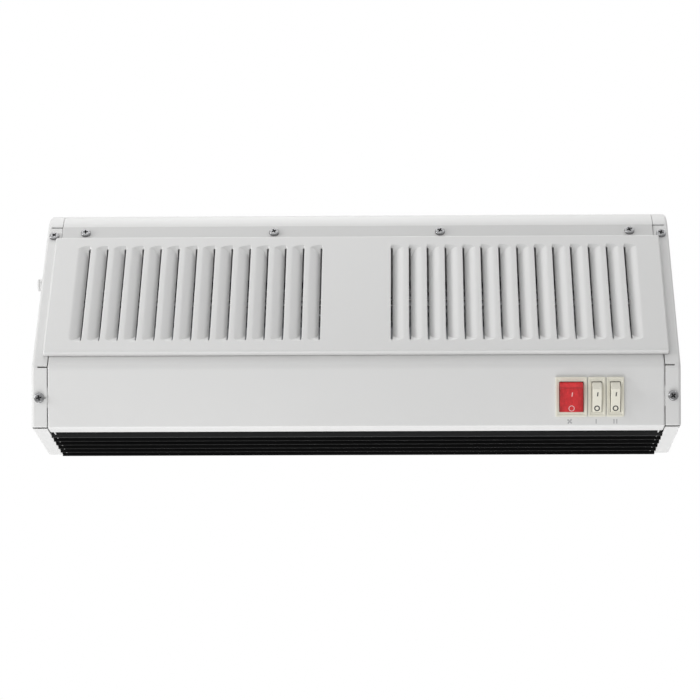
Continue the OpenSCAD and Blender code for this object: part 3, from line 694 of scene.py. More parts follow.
def wound_wire():
    """Enamelled copper in turns round the motor's axis."""
    finish = Finish("wound_wire", Metallic=0.85)
    low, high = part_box("motor_windings")
    axis = (low + high) / 2
    centred = finish.node("ShaderNodeMapping", None, {
        "Vector": finish.place, "Location": (0.0, -axis.y, -axis.z)})
    turns = finish.node(
        "ShaderNodeTexWave", {"wave_type": "RINGS", "rings_direction": "X"},
        {"Vector": centred, "Scale": 350.0, "Distortion": 0.6})
    finish.pattern(turns, (0.36, 0.12, 0.045), (0.72, 0.34, 0.15), 0.3, 0.1)
    finish.bump(turns, 0.5, 0.0003)
    return finish.material


def heater_sheath():
    """Steel sheath with the blue and straw tints of heat."""
    finish = Finish("heater_sheath", Metallic=0.9)
    tint = finish.noise(18.0, 4.0, 0.6, finish.stretched((0.5, 2.0, 2.0)))
    finish.pattern(tint, (0.16, 0.17, 0.20), (0.40, 0.34, 0.26), 0.38, 0.2)
    finish.bump(finish.noise(800.0), 0.05, 0.0002)
    return finish.material


def braided_sleeve():
    """Glass-fibre sleeve with its fine diagonal braid."""
    finish = Finish("braided_sleeve")
    one, other = (
        finish.node("ShaderNodeTexWave", {"bands_direction": "DIAGONAL"},
                    {"Vector": place, "Scale": 260.0, "Distortion": 1.5})
        for place in (finish.place, finish.stretched((-1.0, 1.0, 1.0))))
    weave = one * other
    finish.pattern(weave, (0.02, 0.02, 0.024), (0.09, 0.09, 0.10), 0.7, -0.2)
    finish.bump(weave, 0.4, 0.0003)
    return finish.material


def soft_rubber():
    """Black rubber with some dust on it."""
    finish = Finish("soft_rubber")
    dust = finish.noise(160.0, 4.0, 0.6)
    finish.pattern(dust, (0.018, 0.018, 0.018), (0.045, 0.044, 0.043), 0.68, 0.2)
    finish.bump(finish.noise(1200.0), 0.1, 0.0002)
    return finish.material


def red_lens():
    """Tinted rocker: cloudy, with painted shade darkening it towards its sides and a painted
    highlight on its raised end.
    """
    finish = Finish("red_lens", Specular_IOR_Level=0.25)
    colour = tuple(settings().colours.red)
    low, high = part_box(SWITCHES[0]["rocker"])
    aside = finish.coordinate("X")
    # painted shade: the colour darkens towards the rocker's two sides
    edge = abs(aside - (low.x + high.x) / 2) / ((high.x - low.x) / 2)
    # painted highlight: a paler band on the rocker's raised end
    painted_ridge_highlight = finish.ramp(finish.coordinate("Z"), high.z - 0.0050, high.z - 0.0042, 0.0, 0.35)
    cloud = finish.noise(520.0, 3.0, 0.6, finish.stretched((1.0, 1.0, 0.3)))
    fine = finish.noise(900.0, 2.0, 0.7)
    # the tint's cloudiness, with the painted highlight added and the painted shade taken off
    depth = cloud * 0.75 + fine * 0.35 + painted_ridge_highlight - edge * edge * edge * 0.6
    finish.set("Base Color", finish.blend(depth, shade(colour, 0.4), (0.79, 0.036, 0.042)))
    finish.set("Roughness", 0.24 + cloud * 0.14)
    finish.bump(fine, 0.03, 0.0002)
    return finish.material


def lamp_glass():
    """Tinted glass of the neon lamp, slightly hazy."""
    finish = Finish("lamp_glass", Transmission_Weight=0.6)
    finish.pattern(finish.noise(500.0), (0.85, 0.5, 0.3), (0.95, 0.68, 0.46), 0.08, 0.1)
    return finish.material


def printed_ink(name, colour):
    """Thin print that lets a little of its ground through."""
    finish = Finish(name)
    grain = finish.noise(3000.0, 3.0, 0.7)
    finish.pattern(grain, shade(colour, 0.85), shade(colour, 1.18), 0.5, 0.1)
    return finish.material


def make_finishes():
    """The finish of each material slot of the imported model."""
    colours = settings().colours
    coat, steel, ivory = tuple(colours.coat), tuple(colours.steel), tuple(colours.ivory)
    return {
        "coat": powder_coat("powder_coat", coat),
        # the strip's coat is a 13% darker copy of the coat: painted shade on the strip between the
        # rounded top and the tray
        "strip_coat": powder_coat("strip_coat", shade(coat, 0.87)),
        "inner_coat": powder_coat("inner_coat", shade(coat, 0.98), 0.5),
        "galvanised": galvanised(),
        "black_coat": satin_black(),
        "zinc_screws": turned_metal("bright_zinc", steel, 0.2, (1.0, 1.0, 1.0), 400.0),
        # a near-black copy of the plated steel for the screws' cross recesses: painted shade
        "recess": turned_metal("recess_steel", shade(steel, 0.2), 0.4),
        "bright_steel": turned_metal("ground_steel", (0.62, 0.63, 0.64), 0.2),
        "fan_aluminium": turned_metal("fan_aluminium", (0.44, 0.45, 0.47), 0.34),
        "motor_steel": turned_metal("motor_steel", (0.48, 0.49, 0.50), 0.3),
        "copper_wire": wound_wire(),
        "bronze": turned_metal("sintered_bronze", (0.50, 0.36, 0.17), 0.42),
        "rubber": soft_rubber(),
        "heater_sheath": heater_sheath(),
        "brass": turned_metal("brass", (0.70, 0.52, 0.22), 0.26),
        "cream_plastic": moulded("cream_plastic", (0.74, 0.71, 0.60), 0.45),
        "clip_plastic": moulded("clip_plastic", (0.74, 0.74, 0.72), 0.5),
        "sleeve": braided_sleeve(),
        "bush_plastic": moulded("bush_plastic", shade(coat, 1.04), 0.4),
        "ivory_plastic": moulded("ivory_plastic", ivory, 0.3),
        "ivory_rocker": moulded("ivory_rocker", shade(ivory, 1.03), 0.22, 0.3),
        "red_rocker": red_lens(),
        "lamp_glass": lamp_glass(),
    }


FINISHES = {}


# --- Pieces


class AIRCURTAIN_OT_finishes(bpy.types.Operator):
    """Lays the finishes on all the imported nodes"""

    bl_idname = "aircurtain.finishes"
    bl_label = "Finishes"

    def execute(self, context):
        FINISHES.update(make_finishes())
        for row in frame["record"]["subparts"]:
            materials = frame["nodes"][row["node"]].data.materials
            materials.clear()
            materials.append(FINISHES[row["material_slot"]])
        return {"FINISHED"}


class AIRCURTAIN_OT_rear_casing(bpy.types.Operator):
    """Bends the back, the top and the rounded front edge from one sheet"""

    bl_idname = "aircurtain.rear_casing"
    bl_label = "Rear casing"

    support_drop = 0.0148
    support_gap = 0.0001
    step_start, step_end = -0.0004, 0.0002
    back_radius = 0.0015
    softened = 0.0003
    hook_slot = (0.028, 0.013)
    hook_x = 0.120
    hook_top = -0.003
    screw_x = 0.18
    screw_clearance = 0.006
    dimple_floor = 0.0003
    reach = 0.01

    def execute(self, context):
        casing = settings().casing
        up = slope_up()
        behind = Vector((up.y, -up.x)) * (casing.sheet + self.support_gap)
        back_top, back_foot = Vector((-casing.back_gap, CAP[1].z)), at(casing.back_gap, 0)
        piece = bent_sheet(
            "casing_shell",
            [slope_top() - up * self.support_drop + behind,
             slope_top() + up * self.step_start + behind, slope_top() + up * self.step_end,
             top_corner(), back_top, back_foot],
            -CASING_HALF, CASING_HALF)
        edit(piece)
        round_edges(piece, along_x_at(top_corner()), top_bend_radius(), 20)
        round_edges(piece, along_x_at(back_top), self.back_radius, 4)
        leave_edit()
        thicken(piece, casing.sheet)
        cutters = []
        wide, tall = self.hook_slot
        for side in (-1, 1):
            x = side * self.hook_x
            cutters.append(new_box(
                "cutter", (x - wide / 2, -self.reach, self.hook_top - tall),
                (x + wide / 2, self.reach, self.hook_top)))
            dimple = new_cylinder(
                "cutter", self.screw_clearance,
                self.dimple_floor - casing.back_gap - casing.sheet, self.reach, 32, "Y")
            cutters.append(place(dimple, shift(side * self.screw_x, 0)))
        cut_away(piece, *cutters)
        soften(piece, self.softened)
        smooth(piece)
        hand_over(piece, "casing", "coat", "rear_casing")
        return {"FINISHED"}


class AIRCURTAIN_OT_louvre_panel(bpy.types.Operator):
    """Presses the louvres into the raised tray and folds its edges"""

    bl_idname = "aircurtain.louvre_panel"
    bl_label = "Louvre panel"

    columns = 14
    rows = 7
    bow = 0.35
    straight = 0.6
    lip_return = 0.009
    return_radius = 0.0004
    return_start = 0.0003
    tray_sheet = 0.8
    strip_rounding = 0.8
    smooth_angle = 25
    merging = 2e-6

    def fall(self, share):
        """How deep the ramp lies at a share of its width, from 0 to 1."""
        return (math.hypot(share, self.bow) - self.bow) / (math.hypot(1, self.bow) - self.bow)

    def pocket(self):
        """The louvre nearest to the middle on the left: a ramp to the slit, closed at its ends."""
        louvres = settings().louvres
        slit_x = -louvres.first_slit - louvres.slit
        ramp = louvres.width - louvres.slit
        half = louvres.length / 2
        middle = -louvres.top - half
        clear_selection()
        bpy.ops.mesh.primitive_grid_add(
            x_subdivisions=self.columns, y_subdivisions=2 * self.rows + 1, size=1,
            location=(slit_x - ramp / 2, middle, louvres.rise))
        piece = named("louvre")
        piece.scale = (ramp, louvres.length, 1)
        settle(piece)
        edit(piece)
        # the rows close up towards both ends, where the closing walls stand
        spacing = louvres.length / (2 * self.rows + 1)
        for side in (-1, 1):
            for k in range(1, self.rows + 1):
                pick(piece, "VERT", at_level(1, middle + side * (half - k * spacing)))
                move((0, side * k * (spacing - louvres.end_wall / self.rows), 0))
        for k in range(1, self.columns + 1):
            share = k / self.columns
            pick(piece, "VERT", at_level(0, slit_x - ramp * (1 - share)))
            move((0, 0, -louvres.depth * self.fall(share)))
        for side in (-1, 1):
            for k in range(self.rows):
                share = k / self.rows
                pick(piece, "VERT", at_level(1, middle + side * (half - share * louvres.end_wall)))
                level = (self.straight * share
                         + (1 - self.straight) * math.sin(share * math.pi / 2))
                resize((1, 1, level), (0, 0, louvres.rise))
            # the walls keep their slope where the ramp is less deep, and follow a rounded end
            for k in range(self.columns):
                share = k / self.columns
                back = louvres.end_length * (1 - math.sqrt(1 - (1 - share) ** 2))
                pick(piece, "VERT", lambda v, x=slit_x - ramp * (1 - share), s=side: near(v.co.x, x)
                     and (v.co.y - middle) * s > half - louvres.end_wall - TINY)
                resize((1, self.fall(share), 1), (0, middle + side * half, 0))
                move((0, -side * back, 0))
        # beyond the slit's ends, a wall rises from the louvre to the panel
        open_half = half - louvres.slit_inset
        pick(piece, "EDGE", lambda e: e.is_boundary and all(
            near(v.co.x, slit_x) and abs(v.co.y - middle) > open_half - TINY for v in e.verts))
        extrude_edges((louvres.slit, 0, 0))
        extrude_edges((0, 0, 0))
        resize((1, 1, 0), (0, 0, louvres.rise))
        merge_close(self.merging)
        # the slit's far side is the panel's own edge, between the two walls
        def on_far_side(v):
            return near(v.co.x, slit_x + louvres.slit) and near(v.co.z, louvres.rise)

        ends = [v.co.y for v in bmesh.from_edit_mesh(piece.data).verts if on_far_side(v)]
        high_end = min(y for y in ends if y > middle)
        low_end = max(y for y in ends if y < middle)
        pick(piece, "VERT", lambda v: on_far_side(v) and near(v.co.y, high_end))
        bpy.ops.mesh.extrude_vertices_move(
            TRANSFORM_OT_translate={"value": (0, low_end - high_end, 0)})
        merge_close(self.merging)
        leave_edit()
        return piece

    def half_tray(self):
        """The tray's left half, bent from one sheet and closed at its end."""
        louvres = settings().louvres
        x = -TRAY[1].x
        lip_y, strip_y = louvres.lip_above_bend - slope_length(), -louvres.strip_width
        lip_foot, lip, top = (
            Vector((lip_y, louvres.foot)), Vector((lip_y, louvres.rise)),
            Vector((strip_y, louvres.rise)))
        piece = bent_sheet("louvre_tray", [
            Vector((lip_y + self.lip_return, louvres.foot)), lip_foot, lip, top,
            Vector((strip_y, louvres.foot))], x, 0)
        edit(piece)
        round_edges(piece, along_x_at(top), louvres.top_radius, 4)
        round_edges(piece, along_x_at(lip), louvres.lip_radius, 8)
        round_edges(piece, along_x_at(lip_foot), self.return_radius, 2)
        # the end's outline, without the sheet that returns behind the lip
        pick(piece, "EDGE", lambda e: in_plane(0, x)(e) and (
            max(v.co.y for v in e.verts) < lip_y + self.return_start
            or min(v.co.z for v in e.verts) > louvres.foot + TINY or in_plane(1, strip_y)(e)))
        bpy.ops.mesh.edge_face_add()
        face_outwards()
        round_edges(piece, lambda e: in_plane(0, x)(e) and bends(e, 1), louvres.side_radius, 4)
        # the flat front goes, and is filled again round the louvres
        pick(piece, "FACE", lambda f: f.normal.z > 0.999 and f.calc_area() > 0.005)
        bpy.ops.mesh.delete(type="ONLY_FACE")
        leave_edit()
        return piece

    def execute(self, context):
        casing, louvres = settings().casing, settings().louvres
        pocket = self.pocket()
        row = [pocket]
        for k in range(1, louvres.count):
            row.append(place(copy_of(pocket, "louvre"), shift(-k * louvres.pitch, 0)))
        piece = joined("louvre_tray", self.half_tray(), *row)
        edit(piece)
        merge_close()
        pick(piece, "EDGE", lambda e: len(e.link_faces) < 2 and in_plane(2, louvres.rise)(e))
        bpy.ops.mesh.fill(use_beauty=True)
        face_outwards()
        leave_edit()
        apply_modifier(piece, "MIRROR", use_axis=(True, False, False), merge_threshold=1e-6)
        thicken(piece, casing.sheet * self.tray_sheet)
        edit(piece)
        round_edges(piece, lambda e: bends(e, 1.4) and e.calc_length() > 0.05 and crosswise(e)
                    and in_plane(2, louvres.rise)(e), louvres.lip_edge, 4)
        leave_edit()
        place(piece, slope_frame())
        smooth(piece, self.smooth_angle)
        hand_over(piece, "casing", "coat", "louvre_panel")
        strip = new_box(
            "top_strip", (-CASING_HALF, -louvres.strip_width - casing.sheet, -casing.sheet),
            (CASING_HALF, casing.seam_gap, louvres.strip_lap))
        soften(strip, louvres.strip_lap * self.strip_rounding, 4)
        place(strip, slope_frame())
        smooth(strip)
        # the strip wears the darker copy of the coat, as painted shade
        hand_over(strip, "casing", "coat", finish=FINISHES["strip_coat"])
        return {"FINISHED"}


class AIRCURTAIN_OT_front_panel(bpy.types.Operator):
    """Folds the lower front panel, with its rounded corners and its switch cut-outs"""

    bl_idname = "aircurtain.front_panel"
    bl_label = "Front panel"

    cut_half_height = 0.0146
    cut_margin = 0.0013
    reach = 0.004

    def execute(self, context):
        casing, middle = settings().casing, settings().switches.height
        piece = bent_sheet(
            "front_skin",
            [lower_bend() + Vector((casing.front_return, 0)), lower_bend(), upper_bend(),
             upper_bend() + slope_up() * casing.front_overlap],
            -CASING_HALF, CASING_HALF)
        edit(piece)
        pick(piece, "EDGE", lambda e: e.is_boundary and crosswise(e)
             and not near(e.verts[0].co.z, e.verts[1].co.z))
        extrude_edges((0, casing.front_return, 0))
        merge_close()
        face_outwards()
        round_edges(piece, along_x_at(upper_bend()), casing.bend_radius, 8)
        round_edges(piece, lambda e: crosswise(e) and in_plane(2, UNDERSIDE)(e)
                    and not e.is_boundary, casing.corner_radius, 6)
        round_edges(piece, lambda e: bends(e, 0.9), casing.fold_radius, 5)
        face_outwards()
        leave_edit()
        thicken(piece, casing.sheet)
        cutters = []
        for row in SWITCHES:
            wide = row["half"] - self.cut_margin
            cutter = new_box(
                "cutter", (row["x"] - wide, middle - self.cut_half_height, -self.reach),
                (row["x"] + wide, middle + self.cut_half_height, self.reach))
            cutters.append(place(cutter, front_frame()))
        cut_away(piece, *cutters)
        smooth(piece)
        hand_over(piece, "casing", "coat", "front_panel")
        return {"FINISHED"}


class AIRCURTAIN_OT_end_caps(bpy.types.Operator):
    """Folds the two end caps, with the slits at their flanges' bends"""

    bl_idname = "aircurtain.end_caps"
    bl_label = "End caps"

    slit_width = 0.0012
    notch = 0.0009
    notch_angle = math.radians(171)
    foot_angle = math.radians(202)
    slit_starts = (0.003, 0.0048, 0.0008)
    slit_overrun = 0.001
    edge_radius = 0.0026
    pilot_hole = 0.001
    pilot_place = (0.0109, 0.024)
    reach = 0.004

    def inner(self):
        """Where a left cap's flanges end, next to the casing."""
        return -CASING_HALF - settings().casing.seam_gap

    def slit(self, point, angle, start):
        """A slit that begins that far from the outer end."""
        gap = self.slit_width / 2
        cutter = new_box("cutter", (-HALF_LENGTH + start, -self.reach, -gap),
                         (self.inner() + self.slit_overrun, self.reach, gap))
        return place(cutter, plane_frame(point, angle))

    def cap(self, name):
        """A left end cap: the section's outline, closed at its outer end."""
        casing = settings().casing
        wall_top, wall_foot = Vector((0, CAP[1].z)), at(0, 0)
        corners = [wall_foot, lower_bend(), upper_bend(), top_corner(), wall_top]
        piece = bent_sheet(name, [*corners, wall_foot], -HALF_LENGTH, self.inner())
        edit(piece)
        merge_close()
        round_edges(piece, along_x_at(top_corner()), top_bend_radius(), 20)
        round_edges(piece, along_x_at(upper_bend()), casing.bend_radius, 8)
        for corner in (lower_bend(), wall_top, wall_foot):
            round_edges(piece, along_x_at(corner), self.edge_radius, 4)
        pick(piece, "EDGE", in_plane(0, -HALF_LENGTH))
        bpy.ops.mesh.edge_face_add()
        face_outwards()
        round_edges(piece, in_plane(0, -HALF_LENGTH), casing.rim_radius, 5)
        leave_edit()
        thicken(piece, casing.sheet)
        bends_and_angles = (
            (slope_top(), slope_angle() + math.pi / 2), (upper_bend(), self.notch_angle),
            (lower_bend(), self.foot_angle))
        cut_away(piece, *[
            self.slit(*bend, start) for bend, start in zip(bends_and_angles, self.slit_starts)])
        corner = new_cylinder("cutter", self.notch, -self.reach, self.reach, 4, "Y")
        cut_away(piece, place(
            corner, plane_frame(upper_bend(), self.notch_angle) @ shift(self.inner(), 0)))
        return piece

    def execute(self, context):
        left = self.cap("left_cap_shell")
        right = mirrored(copy_of(left, "right_cap_shell"))
        x, y = self.pilot_place
        hole = new_cylinder("cutter", self.pilot_hole, -self.reach, self.reach, 16)
        cut_away(left, place(hole, front_frame() @ shift(x - HALF_LENGTH, y)))
        for piece, node in ((left, "left_end_cap"), (right, "right_end_cap")):
            smooth(piece)
            hand_over(piece, "casing", "coat", node)
        return {"FINISHED"}


SWITCHES = []
for name, slot in (
        ("fan", "red_rocker"), ("heat_one", "ivory_rocker"), ("heat_two", "ivory_rocker")):
    low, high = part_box(name + "_switch_body")
    SWITCHES.append({
        "name": name, "body": name + "_switch_body", "rocker": name + "_rocker",
        "moves": name + "_rocker_body", "slot": slot, "x": (low.x + high.x) / 2,
        "half": (high.x - low.x) / 2})


class AIRCURTAIN_OT_switch_bezels(bpy.types.Operator):
    """Moulds the bezels and housings of the three switches"""

    bl_idname = "aircurtain.switch_bezels"
    bl_label = "Switch bezels"

    half_height = 0.01555
    body_depth = 0.0175
    wall = 0.0027
    floor = 0.0015
    apart = 0.0003
    step = (0.00025, -0.00035)
    housing_inset = 0.0010
    cavity_half = 0.0141
    cavity_top = -0.0004
    reach = 0.01
    corner = 0.0009
    softened = 0.0003

    def execute(self, context):
        switches = settings().switches
        for row in SWITCHES:
            half = row["half"] - self.apart
            piece = new_box(row["name"] + "_bezel", (-half, -self.half_height, TINY),
                            (half, self.half_height, switches.bezel_rise))
            edit(piece)
            # a flat frame and a shallow step on top, and the housing below
            pick(piece, "FACE", lambda f: f.normal.z > 0.9)
            bpy.ops.mesh.inset(thickness=switches.frame_width, depth=0)
            bpy.ops.mesh.inset(thickness=self.step[0], depth=self.step[1])
            pick(piece, "FACE", lambda f: f.normal.z < -0.9)
            bpy.ops.mesh.inset(thickness=self.housing_inset, depth=0)
            bpy.ops.mesh.extrude_region_move(
                TRANSFORM_OT_translate={"value": (0, 0, -self.body_depth)})
            round_edges(piece, lambda e: upright(e) and near(abs(e.verts[0].co.x), half),
                        self.corner, 3)
            leave_edit()
            wide, bottom = half - self.wall, self.floor - self.body_depth
            cut_away(piece, *[
                new_box("cutter", (-wide, -tall, bottom), (wide, tall, top))
                for tall, top in (
                    (switches.opening_half, self.reach), (self.cavity_half, self.cavity_top))])
            soften(piece, self.softened, 3, 50)
            place(piece, front_frame() @ shift(row["x"], switches.height))
            smooth(piece)
            hand_over(piece, "casing", "ivory_plastic", row["body"])
        return {"FINISHED"}


def rocker_frame(x):
    """A rocker's own frame at rest: its origin on the pivot, tipped with its upper end out."""
    switches = settings().switches
    return (front_frame() @ shift(x, switches.height, -switches.pivot_depth)
            @ turn(switches.tilt, "X"))


class AIRCURTAIN_OT_rockers(bpy.types.Operator):
    """Moulds the three rockers"""

    bl_idname = "aircurtain.rockers"
    bl_label = "Rockers"

    side_gap = 0.0034
    pin_radius = 0.00125
    pin_reach = 0.0008
    flank_inset = 0.0006
    flank_level = 0.0025
    belly = (0.004, -0.0022)
    ridge_radius = 0.0007
    shoulder_radius = 0.0006
    side_radius = 0.00055

    def execute(self, context):
        switches = settings().switches
        ridge = (switches.ridge_half, switches.ridge_level)
        shoulder = (switches.shoulder_half, switches.shoulder_level)
        side = [ridge, shoulder, (shoulder[0] - self.flank_inset, self.flank_level), self.belly]
        profile = [Vector((-y, z)) for y, z in reversed(side)] + [Vector(point) for point in side]
        for row in SWITCHES:
            half = row["half"] - self.side_gap
            piece = bent_sheet(row["name"] + "_rocker_skin", [*profile, profile[0]], -half, half)
            edit(piece)
            merge_close()
            for x in (-half, half):
                pick(piece, "EDGE", in_plane(0, x))
                bpy.ops.mesh.edge_face_add()
            face_outwards()
            for (y, z), radius, segments in (
                    (ridge, self.ridge_radius, 4), (shoulder, self.shoulder_radius, 3)):
                for way in (1, -1):
                    round_edges(piece, along_x_at(Vector((way * y, z))), radius, segments)
            round_edges(piece, lambda e: in_plane(0, half)(e) or in_plane(0, -half)(e),
                        self.side_radius, 3)
            leave_edit()
            reach = half + self.pin_reach
            pin = new_cylinder("pin", self.pin_radius, -reach, reach, 24, "X")
            piece = joined(piece.name, piece, pin)
            place(piece, rocker_frame(row["x"]))
            smooth(piece, 40)
            hand_over(piece, row["moves"], row["slot"], row["rocker"])
        return {"FINISHED"}


class AIRCURTAIN_OT_marks(bpy.types.Operator):
    """Prints the marks on the rockers and under the switches"""

    bl_idname = "aircurtain.marks"
    bl_label = "Marks"

    print_rise = 0.00006
    white = (0.72, 0.55, 0.55)
    dark = (0.02, 0.02, 0.022)
    stroke_place = (0.0004, 0.0047)
    stroke_length = 0.0034
    stroke_slant = -0.12
    circle_place = (0, -0.0066)
    circle_radius = 0.0023
    thin_stroke, thin_circle = 0.0006, 0.00042
    bold = 0.0009
    rounding = 0.35
    blade_place = (0, 0.00135)
    blade_size = (0.0011, 0.0019)
    blade_slant = 0.35
    hub_radius = 0.0004
    numeral_size = (0.0008, 0.0036)
    numeral_gap = 0.0022
    numeral_shift = -0.0006
    fan_shift = -0.0014
    printed_height = 0.0040

    def bar(self, name, centre, size, slant=0.0):
        """A printed stroke with rounded ends."""
        wide, tall = size
        piece = new_box(name, (-wide / 2, -tall / 2, 0), (wide / 2, tall / 2, self.print_rise))
        edit(piece)
        round_edges(piece, upright, wide * self.rounding, 3)
        leave_edit()
        return place(piece, shift(*centre) @ turn(slant))

    def ring(self, name, centre, radius, width):
        """A printed circle."""
        piece = new_cylinder(name, radius, 0, self.print_rise, 40)
        cut_away(piece, new_cylinder("cutter", radius - width, -0.001, 0.001, 40))
        return place(piece, shift(*centre))

    def fan_mark(self, centre):
        """A small four-bladed fan."""
        parts = []
        for k in range(4):
            blade = self.bar("blade", self.blade_place, self.blade_size, self.blade_slant)
            parts.append(place(blade, shift(*centre) @ turn(math.radians(45 + 90 * k))))
        hub = new_cylinder("hub", self.hub_radius, 0, self.print_rise, 16)
        parts.append(place(hub, shift(*centre)))
        return joined("fan_mark", *parts)

    def numeral(self, name, x):
        return self.bar(name, (x, self.printed_height), self.numeral_size)

    def execute(self, context):
        white, dark, grey = (printed_ink(*ink) for ink in (
            ("white_print", self.white), ("dark_print", self.dark),
            ("grey_print", tuple(settings().colours.ink))))
        for row in SWITCHES:
            ink, stroke_width, circle_width = dark, self.bold, self.bold
            if row["name"] == "fan":
                ink, stroke_width, circle_width = white, self.thin_stroke, self.thin_circle
            stroke = self.bar("stroke", self.stroke_place, (stroke_width, self.stroke_length),
                              self.stroke_slant)
            circle = self.ring("circle", self.circle_place, self.circle_radius, circle_width)
            piece = joined(row["name"] + "_rocker_marks", stroke, circle)
            place(piece, rocker_frame(row["x"]) @ shift(0, 0, settings().switches.ridge_level))
            hand_over(piece, row["moves"], row["slot"], finish=ink)
        fan, one, two = (row["x"] for row in SWITCHES)
        for piece in (
                self.fan_mark((fan + self.fan_shift, self.printed_height)),
                self.numeral("one_mark", one + self.numeral_shift),
                joined("two_mark", self.numeral("left", two - self.numeral_gap / 2),
                       self.numeral("right", two + self.numeral_gap / 2))):
            place(piece, front_frame())
            hand_over(piece, "casing", "coat", finish=grey)
        return {"FINISHED"}


class AIRCURTAIN_OT_screws(bpy.types.Operator):
    """Turns one pan-head screw and sets eight copies"""

    bl_idname = "aircurtain.screws"
    bl_label = "Screws"

    strip_x = (0.0680, 0.2230)
    strip_down = 0.0076
    cap_inset = 0.0062
    cap_down = 0.010
    cap_up = 0.024
    turns = (0.5, 0.1, 1.1, 0.35, 0.9, 0.2, 1.3, 0.7)
    head_rounding = 0.6
    arm_half = 0.0007
    arm_taper = (0.45, 0.6, 1)
    softened = 0.00012
    recess_foot, recess_rim = 0.0001, 0.00015

    def screw(self):
        sizes = settings().screws
        top = sizes.head_height
        piece = new_cylinder("screw", sizes.head_radius, TINY, top, 40)
        edit(piece)
        round_edges(piece, in_plane(2, top), top * self.head_rounding, 6)
        leave_edit()
        arms = []
        for k in range(2):
            arm = new_box(
                "arm", (-sizes.recess_half, -self.arm_half, top - sizes.recess_depth),
                (sizes.recess_half, self.arm_half, top + 0.001))
            edit(arm)
            pick(arm, "FACE", lambda f: f.normal.z < -0.9)
            resize(self.arm_taper, (0, 0, 0))
            leave_edit()
            arms.append(place(arm, turn(k * math.pi / 2)))
        cut_away(piece, *arms)
        soften(piece, self.softened, 2, 35)
        # the faces in the cross recess get the near-black steel, as painted shade
        piece.data.materials.append(FINISHES["zinc_screws"])
        piece.data.materials.append(FINISHES["recess"])
        edit(piece)

        def in_recess(face):
            middle = face.calc_center_median()
            return (middle.xy.length < sizes.recess_half
                    and self.recess_foot < middle.z < top - self.recess_rim)

        pick(piece, "FACE", in_recess)
        piece.active_material_index = 1
        bpy.ops.object.material_slot_assign()
        leave_edit()
        return piece

    def execute(self, context):
        slope, front = slope_frame(), front_frame()
        lap, cap_x = settings().louvres.strip_lap, HALF_LENGTH - self.cap_inset
        spots = {"strip_screw": [], "cap_screw": []}
        for side in (-1, 1):
            for x in self.strip_x:
                spots["strip_screw"].append(slope @ shift(side * x, -self.strip_down, lap))
            spots["cap_screw"] += [slope @ shift(side * cap_x, -self.cap_down),
                                   front @ shift(side * cap_x, self.cap_up)]
        model = self.screw()
        turns = iter(self.turns)
        for name, matrices in spots.items():
            copies = [place(copy_of(model, name), matrix @ turn(next(turns)))
                      for matrix in matrices]
            piece = joined(name + "_heads", *copies)
            smooth(piece, 40)
            hand_over(piece, "casing", "zinc_screws", name + "s")
        take(model)
        bpy.ops.object.delete()
        return {"FINISHED"}


class AIRCURTAIN_OT_cable_bush(bpy.types.Operator):
    """Turns the ribbed bush of the cable entry"""

    bl_idname = "aircurtain.cable_bush"
    bl_label = "Cable bush"

    # radii
    bore, stem, rib, neck, collar, nut = 0.0035, 0.0045, 0.0051, 0.0055, 0.0064, 0.0067
    # lengths along the bush
    cap_wall = 0.001
    collar_length = 0.0016
    first_rib = 0.0031
    rib_pitch = 0.0019
    rib_length = 0.0012
    rib_slope = 0.0002
    softened = 0.0002

    def execute(self, context):
        low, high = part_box("cable_bush")
        face = -HALF_LENGTH
        # from the inner end to the outer one, and back through the bore: (x, radius)
        steps = [
            (high.x, self.nut), (face + self.cap_wall, self.nut),
            (face + self.cap_wall, self.neck), (face, self.neck), (face, self.collar),
            (face - self.collar_length, self.collar)]
        for k in range(2):
            x = face - self.first_rib - self.rib_pitch * k
            steps += [
                (x + self.rib_slope, self.stem), (x, self.rib), (x - self.rib_length, self.rib),
                (x - self.rib_length - self.rib_slope, self.stem)]
        steps += [(low.x, self.stem), (low.x, self.bore), (high.x, self.bore)]
        clear_selection()
        bpy.ops.mesh.primitive_circle_add(
            vertices=40, radius=self.nut, location=(high.x, 0, 0), rotation=(0, math.pi / 2, 0))
        piece = settle(named("bush_ribs"))
        edit(piece)
        bpy.ops.mesh.select_all(action="SELECT")
        for (x0, r0), (x1, r1) in zip(steps, steps[1:]):
            extrude_edges((x1 - x0, 0, 0))
            resize((1, r1 / r0, r1 / r0), (x1, 0, 0))
        # the last ring closes on the first
        resize((1, self.nut / self.bore, self.nut / self.bore), (high.x, 0, 0))
        merge_close()
        face_outwards()
        leave_edit()
        place(piece, shift(0, (low.y + high.y) / 2, (low.z + high.z) / 2))
        soften(piece, self.softened, 2, 30)
        smooth(piece, 40)
        hand_over(piece, "casing", "bush_plastic", "cable_bush")
        return {"FINISHED"}


# --- Stage


